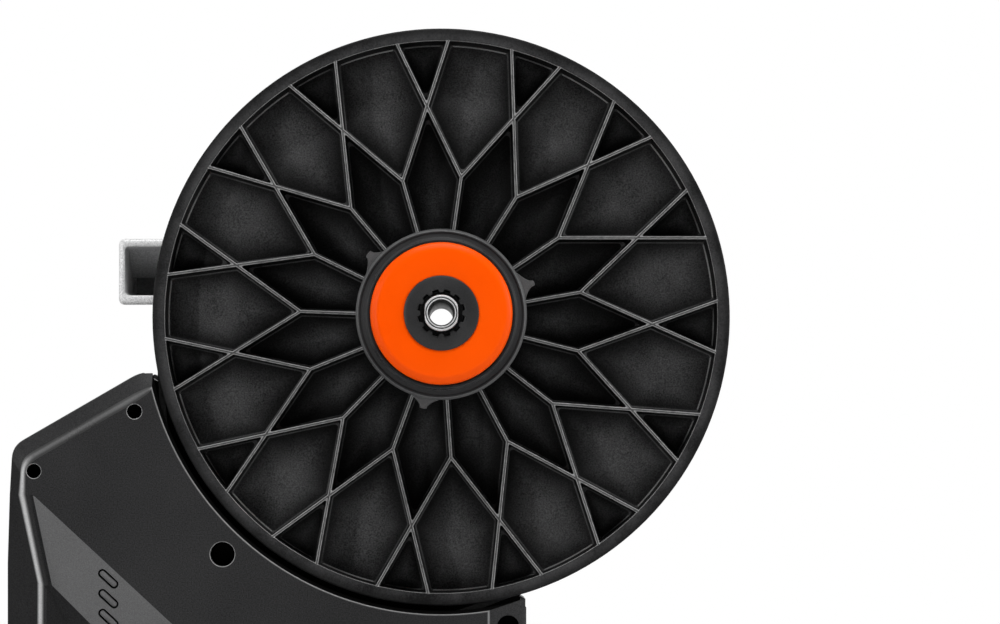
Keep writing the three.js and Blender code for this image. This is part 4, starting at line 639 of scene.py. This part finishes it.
# Painted highlight: the rolled outer edge is painted a lighter grey for the light it catches, and the
# lugs are this lighter grey too
guard_slots = []
for (r, y), (r2, y2) in zip(guard_profile, guard_profile[1:] + guard_profile[:1]):
    rolled_edge = min(r, r2) > 41.8 and max(y, y2) < -45
    lip = 37.5 < (r + r2) / 2 < 38.6 and y < y2 < -49
    guard_slots.append(ON_LIGHT_GREY if rolled_edge else ON_LIP if lip else ON_GUARD)
guard.turn(guard_profile, 144, guard_slots)
LUG_ROOT, LUG_STEPS = 42.6, 8


def lug(tip, reach, root_low, root_high, tip_half, curl):
    """Hooked lug: blunt tip on concave flanks, its long ramp on one side."""
    left, right = [], []
    for k in range(LUG_STEPS + 1):
        share = k / LUG_STEPS
        ease = (1 - share) ** 2.2
        radius = LUG_ROOT + (reach - LUG_ROOT) * share
        half = math.degrees(tip_half / radius)
        left.append(polar(radius, tip + half + (root_high - tip) * ease))
        right.append(polar(radius, tip - half + (root_low - tip) * ease))
    half = math.degrees(tip_half / reach)
    crown = [polar(reach + curl * math.sin(math.pi * share), tip + half * (2 * share - 1))
             for share in (0.25, 0.5, 0.75)]
    outline = right + crown + left[::-1]
    middle = polar(43, tip)
    rings = []
    for shrink, plane in ((0, -42.0), (0, -45.4), (0.06, -46.0)):
        rings.append([(p.x + (middle.x - p.x) * shrink, plane, p.y + (middle.y - p.y) * shrink)
                      for p in outline])
    guard.skin(rings, ON_LIGHT_GREY)
    guard.face(rings[0], ON_GUARD)
    guard.face(rings[-1], ON_LIGHT_GREY)


lug(18.9, 49.4, 10.5, 30.0, 1.3, 0.2)
lug(140.4, 48.0, 133.5, 151.0, 1.9, 0.3)
lug(258.9, 48.3, 249.5, 268.0, 1.8, 0.2)
guard_piece = guard.piece("chain_guard", axle, [guard_black, guard_edge, guard_lip], 35)
mounted(guard_piece, "freehub_assembly", "guard_plastic", "sprocket_inner_guard")


# Drive-side cover: textured injection-moulded housing that follows the wheel's
# arc. Its face is bevelled all round, a sloping facet carries three indicator
# lenses, and screws sink into deep round recesses.
cover_black = grained("cover_plastic", (0.01, 0.01, 0.0104), (0.034, 0.034, 0.035), 0.42, 1500, 14,
                      0.25, (2.6, 0.6), specular=0.2)
# Painted sheen: the facet is a lighter grey than the rest of the cover for the light it catches; the
# lenses share this grey
facet_grey = grained("cover_facet", (0.07, 0.07, 0.071), (0.15, 0.15, 0.152), 0.4, 2000, 18, 0.15,
                     (1.5, 0.6), specular=0.3)
# Painted highlight: the cover's rounded edge is painted light, by its UV level, for the highlight it
# catches
edge_grey = grained("cover_highlighted_edge", (0.28, 0.28, 0.282), (0.56, 0.56, 0.563), 0.32, 1500, 30,
                    0.1, (1.2, 0.6), specular=0.7, painted_shading=(0, 1, 0.07, 1.0))
# Painted shade: a darker black for the valley beside the facet and for the cover's straight rear side
valley_black = grained("cover_valley_painted_shade", (0.007, 0.007, 0.0074), (0.022, 0.022, 0.0225), 0.5, 1500, 14,
                       0.25, (2.2, 0.6), specular=0.1)
# Painted shade: near-black for the side towards the wheel, the screw bores and lens seats, the cover
# screws and the frame's flat behind the wheel
shade_black = grained("painted_shade_black", (0.001, 0.001, 0.001), (0.004, 0.004, 0.004), 0.6, 1500, 14, 0.2,
                      (1.6, 0.6), specular=0.04)


def carve(target, *tools, operation="DIFFERENCE"):
    """Boolean with each tool in turn; the tools are used up."""
    for tool in tools:
        step = target.modifiers.new(tool.name, "BOOLEAN")
        step.operation = operation
        step.solver = "EXACT"
        step.object = tool
    bpy.context.view_layer.update()
    view = bpy.context.evaluated_depsgraph_get()
    mesh = bpy.data.meshes.new_from_object(target.evaluated_get(view))
    target.modifiers.clear()
    target.data = mesh
    for tool in tools:
        bpy.data.objects.remove(tool)
    return target


def arc(cx, cz, radius, start, end, steps):
    centre = Vector((cx, cz))
    return [centre + polar(radius, start + (end - start) * k / steps) for k in range(steps + 1)]


def bend(start, corner, end, steps):
    """Curve from start to end that leans into a corner."""
    a, b, c = Vector(start), Vector(corner), Vector(end)
    return [a.lerp(b, k / steps).lerp(b.lerp(c, k / steps), k / steps) for k in range(steps + 1)]


# The sides' outline and the face's, point for point: along the wheel's arc, round the two lower
# corners, up the rear, and along the long slope to the shoulder
ARC, ARC_STEPS, CORNER_STEPS = 151.0, 64, 8
BOTTOM = -279.5
edge_start = 180 + math.degrees(math.asin(28.7 / ARC))
edge_end = 360 - math.degrees(math.acos(43.7 / ARC))
edge = arc(0, 0, ARC, edge_start, edge_end, ARC_STEPS)
edge += arc(31.7, BOTTOM + 12, 12, 0, -90, CORNER_STEPS)
edge += arc(-200, BOTTOM + 22, 22, -90, -180, CORNER_STEPS)
edge += [Vector((-222.4, -126)), Vector((-221.5, -91.5))]
edge += bend((-220.5, -72.6), (-220.1, -66.5), (-214.9, -63.4), 6)
edge += bend((-159.5, -31.3), (-155.2, -28.8), (-151.5, -28.7), 4)
FACE_ARC = ARC + 1.7
face_start = 180 + math.degrees(math.asin(36.6 / FACE_ARC))
face_end = 360 - math.degrees(math.acos(24.3 / FACE_ARC))
face = arc(0, 0, FACE_ARC, face_start, face_end, ARC_STEPS)
face += arc(18.3, BOTTOM + 15, 6, 0, -90, CORNER_STEPS)
face += arc(-194.1, BOTTOM + 20, 11, -90, -180, CORNER_STEPS)
face += [Vector((-205.1, -137.3)), Vector((-214.9, -91.5))]
face += bend((-214.6, -81.5), (-214.3, -74.6), (-208.6, -71.2), 6)
face += bend((-157.5, -41.8), (-153.9, -39.8), (-150.4, -37.8), 4)


def inward(outline, depths):
    """Outline moved inwards by a depth for each of its points."""
    moved = []
    count = len(outline)
    for i, place in enumerate(outline):
        before = (place - outline[i - 1]).normalized()
        after = (outline[(i + 1) % count] - place).normalized()
        n1 = Vector((before.y, -before.x))
        n2 = Vector((after.y, -after.x))
        moved.append(place + (n1 + n2) * (depths[i] / max(1 + n1.dot(n2), 0.4)))
    return moved


def level(outline, plane):
    return [(p.x, plane, p.y) for p in outline]


def blended(low, bend, high, share):
    return [tuple(Vector(a).lerp(Vector(b), share).lerp(Vector(b).lerp(Vector(c), share), share))
            for a, b, c in zip(low, bend, high)]


def towards(starts, ends, distances, most):
    """Each point moved by its distance towards its partner, or by no more than a share of the way."""
    moved = []
    for start, end, distance in zip(starts, ends, distances):
        a, b = Vector(start), Vector(end)
        moved.append(tuple(a.lerp(b, min(distance / max((b - a).length, 0.1), most))))
    return moved


# Heights along the axle: the face, the foot of its bevel, the top of the sides and the open back
FACE, LIP, SIDE, BACK = -8, -2, -0.6, 24.7
cover_finishes = (cover_black, facet_grey, edge_grey, valley_black, shade_black)
ON_COVER, ON_FACET, ON_EDGE, ON_VALLEY, IN_SHADE = range(5)
on_arc, on_corner = ARC_STEPS + 1, CORNER_STEPS + 1
rear_start = on_arc + 2 * on_corner
# Width of the rounded edge at each point of the face's outline
soft = [0.8] * on_arc + [1.6] * (2 * on_corner) + [1.9, 2.2]
soft += [2.0, 2.0, 2.1, 2.2, 2.4, 2.4, 2.4] + [2.4, 2.2, 2.0, 1.8, 1.5]
# Painted highlight: how bright it is on the rounded edge at each point of the outline, and across its
# rounding
highlight_reach = [0.55] * on_arc + [0.15] * on_corner + [0.8] * on_corner + [1.0, 1.0]
highlight_reach += [0.95, 0.85, 0.72, 0.6, 0.5, 0.4, 0.32] + [0.32, 0.3, 0.29, 0.28, 0.27]
rounding = [0, 0.45, 0.9, 1.0, 0.5, 0]

flat, ridge, lip = level(inward(face, soft), FACE), level(face, FACE), level(edge, LIP)
slope = towards(ridge, lip, soft, 0.45)
shoulder = towards(lip, ridge, [1.2] * len(lip), 0.4)
rings = [flat] + [blended(flat, ridge, slope, k / 5) for k in range(1, 6)]
cover = Form()
for near, far, low, high in zip(rings, rings[1:], rounding, rounding[1:]):
    for i, place in enumerate(near):
        j = (i + 1) % len(near)
        cover.face([place, near[j], far[j], far[i]], ON_EDGE,
                   [(0, highlight_reach[i] * low), (0, highlight_reach[j] * low),
                    (0, highlight_reach[j] * high), (0, highlight_reach[i] * high)])
# Past the rounding the sides are plain matt, but the straight rear side is painted a darker black for
# shade, and the side towards the wheel is painted near-black for the shade of the gap
side_slots = [IN_SHADE if i < ARC_STEPS else ON_VALLEY if abs(i - rear_start) < 2 else ON_COVER
              for i in range(len(edge))]
sides = [rings[-1], shoulder] + [blended(shoulder, lip, level(edge, SIDE), k / 3) for k in range(1, 4)]
cover.skin(sides + [level(edge, BACK)], side_slots)
cover.face(flat)
cover.face(level(edge, BACK))
cover_piece = cover.piece("cover_shell", axle, cover_finishes)


def capped(rings, name, slot=0, finishes=(), sharp=30):
    """Solid through a row of rings, closed at both ends."""
    body = Form()
    body.skin(rings, slot)
    body.face(rings[0], slot)
    body.face(rings[-1], slot)
    return body.piece(name, axle, finishes, sharp)


# The hollow leaves a shell, and keeps off a boss round each screw; tools run on past the back
SHELL, BOSS, WHEEL_ROOM = 3, 2.2, 155.8
plain_edge = edge[:rear_start + 2] + [Vector((-219.7, -66.5)), Vector((-155.2, -28.8))]
plain_face = face[:rear_start + 2] + [Vector((-215.0, -74.4)), Vector((-153.2, -39.3))]
hollow_edge = inward(plain_edge, [SHELL] * len(plain_edge))
hollow_face = inward(plain_face, [SHELL] * len(plain_face))
hollow_tool = capped([level(hollow_face, -1), level(hollow_edge, 2), level(hollow_edge, 30)],
                     "hollow_tool")
screw_sites = {"shoulder": (-157.2, -48.8, 3.8), "crown": (-208.6, -79.3, 3.7),
               "middle": (-112.0, -121.8, 6.3), "front": (34.3, -158.8, 5.6)}
boss_tools = []
for name, (x, z, radius) in screw_sites.items():
    boss = Form()
    boss.turn([(0, -4), (radius + BOSS, -4), (radius + BOSS, BACK), (0, BACK)], 32, 0, x, z)
    boss_tools.append(boss.piece("boss_" + name, axle))
carve(hollow_tool, *boss_tools)
# The cut along the wheel's arc is painted near-black: painted shade for the gap
opening = Form()
opening.turn([(0, LIP), (WHEEL_ROOM, LIP), (WHEEL_ROOM, 31), (0, 31)], 180, IN_SHADE)
opening_tool = opening.piece("opening_tool", axle, cover_finishes)

# The facet falls from a crisp crease to a valley, and the margin climbs back to the ridge; valley and
# margin are painted a darker black for painted shade
CREASE = math.radians(-42.8)
SINK = 4 / 27.7
along = Vector((math.cos(CREASE), math.sin(CREASE)))
across = Vector((math.sin(CREASE), -math.cos(CREASE)))
apex = Vector((-208.9, -91.5))
knee = Vector((-200.3, -137.5))


def facet_point(place):
    return (place.x, FACE + SINK * (place - apex).dot(across), place.y)


valley_end = knee + along * 300
crest_line = [apex + Vector((-3.6, 0.4)), Vector((-202.9, -137.9)), Vector((-202.9, -320))]
valley_line = [apex + Vector((0.2, -0.4)), knee, valley_end]
inner_line = [apex + Vector((0.5, -0.6)), knee + Vector((3.2, -0.6)), valley_end + Vector((3.2, 1.4))]
rows = []
for crest, valley, inside in zip(crest_line, valley_line, inner_line):
    high_place = Vector((crest.x, FACE - 0.02, crest.y))
    low_place, far_place = Vector(facet_point(valley)), Vector(facet_point(inside))
    turn = high_place.lerp(low_place, 0.45)
    rows.append([tuple(high_place)])
    for share in (0, 0.2, 0.4, 0.6, 0.8, 1):
        before, after = turn.lerp(low_place, share), low_place.lerp(far_place, share)
        rows[-1].append(tuple(before.lerp(after, share)))
facet = Form()
for near, far in zip(rows, rows[1:]):
    for i in range(6):
        facet.face([near[i], near[i + 1], far[i + 1], far[i]], ON_VALLEY if i < 4 else ON_FACET)
start_point, end_point = facet_point(apex), facet_point(apex + along * 330)
facet.face([start_point, end_point, rows[2][-1], rows[1][-1]], ON_FACET)
facet.face([start_point, rows[1][-1], rows[0][-1]], ON_FACET)
facet.face([start_point] + rows[0][::-1], ON_VALLEY)
# The tool's other faces lie outside the cover
ABOVE = -12
ceiling = [(row[0][0], ABOVE, row[0][2]) for row in rows]
end_ceiling = (end_point[0], ABOVE, end_point[2])
facet.face(rows[2] + [end_point, end_ceiling, ceiling[2]])
facet.face(ceiling + [end_ceiling])
facet.face([rows[0][0], rows[1][0], ceiling[1], ceiling[0]])
facet.face([rows[1][0], rows[2][0], ceiling[2], ceiling[1]])
facet.face([start_point, rows[0][0], ceiling[0], end_ceiling, end_point])
facet_tool = facet.piece("facet_tool", axle, cover_finishes)

# A screw's bore has a chamfer at the face with a painted highlight, and walls painted near-black for
# the shade inside
screw_tools = []
for name, (x, z, radius) in screw_sites.items():
    bore = Form()
    bore.turn([(0, FACE - 1), (radius + 1.6, FACE - 1), (radius + 0.45, FACE), (radius, FACE + 0.6),
               (radius, 12), (0, 12)], 48, [0, 0, ON_EDGE, IN_SHADE, IN_SHADE, 0], x, z)
    screw_tools.append(bore.piece("bore_" + name, axle, cover_finishes))
PILL_HALF, PILL_RADIUS, PILL_STEPS = 4.0, 1.85, 12


def pill(centre, grow, top, bottom, name, finishes, dome=0.0):
    """Pill-shaped lens, or its seat's tool where there is no dome; heights are from the facet."""
    levels = [(grow, bottom), (grow, top - dome)]
    if dome:
        levels += [(grow - dome * 0.35, top - dome * 0.35), (grow - dome, top)]
    rings = []
    for swell, height in levels:
        ring = []
        for end, first in ((PILL_HALF, -90), (-PILL_HALF, 90)):
            for k in range(PILL_STEPS + 1):
                p = polar(PILL_RADIUS + swell, first + 180 * k / PILL_STEPS)
                spot = centre + along * (end + p.x) - across * p.y
                ring.append((spot.x, facet_point(spot)[1] - height, spot.y))
        rings.append(ring)
    # A seat's walls are painted near-black: painted shade in the gap round its lens
    return capped(rings, name, 0 if dome else IN_SHADE, finishes, 35)


lens_sites = [Vector((-170.4, -134.4 - 10.2 * k)) for k in range(3)]
lens_tools = [pill(site, 0.45, 4, -4.5, "lens_tool_%d" % k, cover_finishes)
              for k, site in enumerate(lens_sites)]
carve(cover_piece, hollow_tool, opening_tool, facet_tool, *screw_tools, *lens_tools)
cover_piece.name = "drive_cover_moulded"
cover_piece.data.shade_smooth()
cover_piece.data.set_sharp_from_angle(angle=math.radians(24))
mounted(cover_piece, "root", "cover_plastic", "drive_side_cover")
for k, site in enumerate(lens_sites):
    lens_piece = pill(site, -0.45, 0.1, -2.6, "indicator_lens_%d_domed" % (k + 1), [facet_grey], 0.5)
    mounted(lens_piece, "root", "lens", "indicator_lens_%d" % (k + 1))


# Carry handle: an aluminium casting in grainy silver paint, a deep drafted
# pocket for the fingers with a rolled rim. Its tab is screwed to the frame.
silver = grained("silver_paint", (0.56, 0.56, 0.565), (1.0, 1.0, 1.0), 0.42, 1100, 60, 0.9, (2.2, 0.3),
                 0.1, 0.5)
silver_shade = grained("silver_painted_shade", (0.4, 0.4, 0.403), (0.82, 0.82, 0.823), 0.5, 1100, 40,
                       0.6, (1.8, 1.0), 0.1, 0.4)
silver_recess = grained("silver_painted_deep_shade", (0.2, 0.2, 0.202), (0.5, 0.5, 0.503), 0.6, 1100, 40, 0.3,
                        (1.2, 1.0), 0.2, 0.2)


def rounded_box(left, right, low, high, radius, plane):
    ring = []
    for cx, cz, first in ((right - radius, high - radius, 0), (left + radius, high - radius, 90),
                          (left + radius, low + radius, 180), (right - radius, low + radius, 270)):
        ring += level(arc(cx, cz, radius, first, first + 90, 6), plane)
    return ring


def inset_boxes(sides, rows):
    """Rings (inset, corner radius, y) of a box given by its left, right, low and high sides."""
    left, right, low, high = sides
    return [rounded_box(left + inset, right - inset, low + inset, high - inset, radius, plane)
            for inset, radius, plane in rows]


# Left, right, low and high sides; the casting draws in a little below towards the back
FRONT = (-168, -100.3, 7.1, 41.5)
REAR = (-168, -100.3, 9.6, 41.5)
POCKET = (-164.7, -105.3, 12.0, 37.3)
SLOPE_FOOT, SLOPE_DEPTH, SLOPE_RISE = 22.6, 71.1, 1.486


def behind_slope(left, right, low, high, shell):
    """Block behind the sloping back, which runs from the recess's top edge up to the mouth's."""
    corners = [(left, low), (right, low), (right, high), (left, high)]
    front = [(x, SLOPE_DEPTH - (z - SLOPE_FOOT) * SLOPE_RISE + shell, z) for x, z in corners]
    return capped([front, [(x, 90, z) for x, z in corners]], "slope_tool")


handle_piece = capped(inset_boxes(REAR, [(1.2, 2, 86), (0.3, 2.6, 85.7), (0, 3, 84.8)])
                      + inset_boxes(FRONT, [(0, 3, 32.2), (0.2, 2.9, 31.1), (0.8, 2.6, 30.35),
                                            (1.7, 2.2, 30.05)]), "handle_casting")
pocket = capped(inset_boxes(POCKET, [(-0.9, 2.9, 29), (-0.9, 2.9, 30.05), (-0.25, 2.5, 30.4),
                                     (0, 2.3, 31.2), (1.5, 1.8, 80.5), (2.6, 1.6, 82)]), "pocket_tool")
carve(pocket, behind_slope(-172, -98, SLOPE_FOOT, 44, 0))
carve(handle_piece, behind_slope(-172, -105.3, 26.6, 44, 7), pocket)
tab = capped([rounded_box(-105, -64, 9.1, 39.5, 1.2, plane) for plane in (39.3, 59.3)], "tab_tool")
carve(handle_piece, tab, operation="UNION")
handle_piece.data.materials.clear()
for material in (silver, silver_shade, silver_recess):
    handle_piece.data.materials.append(material)
ON_PAINT, ON_INSIDE, ON_RECESS = range(3)
# Painted shade: the pocket's inside is painted a darker silver and its recess darker still, save the
# recess's left wall, which keeps the plain silver
for polygon in handle_piece.data.polygons:
    spot = polygon.center / MM - axle
    inside = -165.5 < spot.x < -105 and 11.8 < spot.z < 37.5 and spot.y > 31.3
    if inside and polygon.normal.y < 0.5:
        recess = spot.z < 22.8 and spot.y > 70
        polygon.material_index = ON_INSIDE
        if recess:
            polygon.material_index = ON_PAINT if polygon.normal.x > 0.5 else ON_RECESS
handle_piece.data.shade_smooth()
handle_piece.data.set_sharp_from_angle(angle=math.radians(35))
mounted(handle_piece, "root", "silver_paint", "carry_handle")


# Everything that keeps its machined or moulded CAD shape: a copy of each node
# gets cleaned faces, softened edges and the finish of its material.
rubber = grained("rubber", (0.01, 0.01, 0.01), (0.03, 0.03, 0.03), 0.75, 900, 35, 0.6, (1.6, 1.0),
                 specular=0.2)
board = grained("circuit_board", (0.004, 0.03, 0.012), (0.012, 0.07, 0.03), 0.4, 300, 80, 0.2,
                (1.0, 0.8), specular=0.5)
copper = turned_metal("copper_winding", (0.4, 0.13, 0.05), (0.7, 0.28, 0.12), 0.35, 0.6)
black_plastic = grained("black_plastic", (0.016, 0.016, 0.0165), (0.042, 0.042, 0.043), 0.5, 1500, 25,
                        0.3, (1.6, 0.8), specular=0.28)
FINISHES = {"black_plastic": black_plastic, "cover_plastic": cover_black,
            "guard_plastic": guard_black, "orange_plastic": orange, "silver_paint": silver,
            "steel": steel, "dark_steel": dark_steel, "aluminium": aluminium, "rubber": rubber,
            "board": board, "copper": copper, "lens": facet_grey}


CORNER = math.radians(32)


def softened(node, width, body, slot, finish=None):
    """A copy of a CAD node with its flat faces merged and its edges rounded."""
    shape = bmesh.new()
    shape.from_mesh(nodes[node].data)
    bmesh.ops.remove_doubles(shape, verts=shape.verts, dist=0.01 * MM)
    bmesh.ops.dissolve_limit(shape, angle_limit=math.radians(2), verts=shape.verts, edges=shape.edges)
    mesh = bpy.data.meshes.new(node + "_softened")
    shape.to_mesh(mesh)
    shape.free()
    mesh.shade_smooth()
    mesh.set_sharp_from_angle(angle=CORNER)
    mesh.materials.append(finish or FINISHES[slot])
    piece = bpy.data.objects.new(node + "_softened", mesh)
    scene.collection.objects.link(piece)
    edge = piece.modifiers.new("edges", "BEVEL")
    edge.width = width * MM
    edge.segments = 2
    edge.limit_method = "ANGLE"
    edge.angle_limit = CORNER
    edge.use_clamp_overlap = True
    edge.harden_normals = True
    return mounted(piece, body, slot, node)


record = frame["record"]
slot_of = {part["node"]: part["material_slot"] for part in record["subparts"]}
body_of = {node: body for body, members in record["behaviour"]["bodies"].items() for node in members}
# Each node with the width of its rounded edges; the cover screws are painted near-black for the shade
# of their bores
EDGES = {"main_frame": 1.2, "far_side_cover": 1.0, "base_beam": 1.5, "front_crossbar": 1.2,
         "hinge_bracket": 1.0, "crossbar_plug_drive": 0.8, "crossbar_plug_far": 0.8,
         "front_pad_drive": 1.0, "front_pad_far": 1.0, "leg_drive": 1.2, "leg_far": 1.2,
         "leg_knob_drive": 1.0, "leg_knob_far": 1.0, "levelling_foot_drive": 0.8,
         "levelling_foot_far": 0.8, "hinge_pin_drive": 0.5, "hinge_pin_far": 0.5, "flywheel": 0.8,
         "belt_pulley": 0.2, "drive_belt": 0.15, "idler_roller": 0.3, "axle_nut": 0.5,
         "pulley_hub": 0.4, "freehub_body": 0.2, "sprocket_14t": 0.25, "freehub_spacer": 0.3,
         "handle_screw_1": 0.4, "handle_screw_2": 0.4, "power_inlet": 0.4,
         "cover_screw_shoulder": 0.3, "cover_screw_crown": 0.3, "cover_screw_middle": 0.4,
         "cover_screw_front": 0.4, "tensioner_bracket": 0.3, "tensioner_bolt": 0.3,
         "speed_sensor": 0.3}
for name, width in EDGES.items():
    finish = shade_black if "cover_screw" in name else None
    softened(name, width, body_of[name], slot_of[name], finish)
# The frame's flat behind the belt wheel is painted near-black: painted shade for the dark gap between
# cover and wheel
FRAME_FLAT = 0.025
frame_piece = bpy.data.objects["main_frame_softened"]
frame_piece.data.materials.append(shade_black)
for polygon in frame_piece.data.polygons:
    if polygon.normal.y < -0.9 and abs(polygon.center.y - FRAME_FLAT) < 0.5 * MM:
        polygon.material_index = 1
for name, item in nodes.items():
    item.data.materials.clear()
    item.data.materials.append(FINISHES[slot_of[name]])
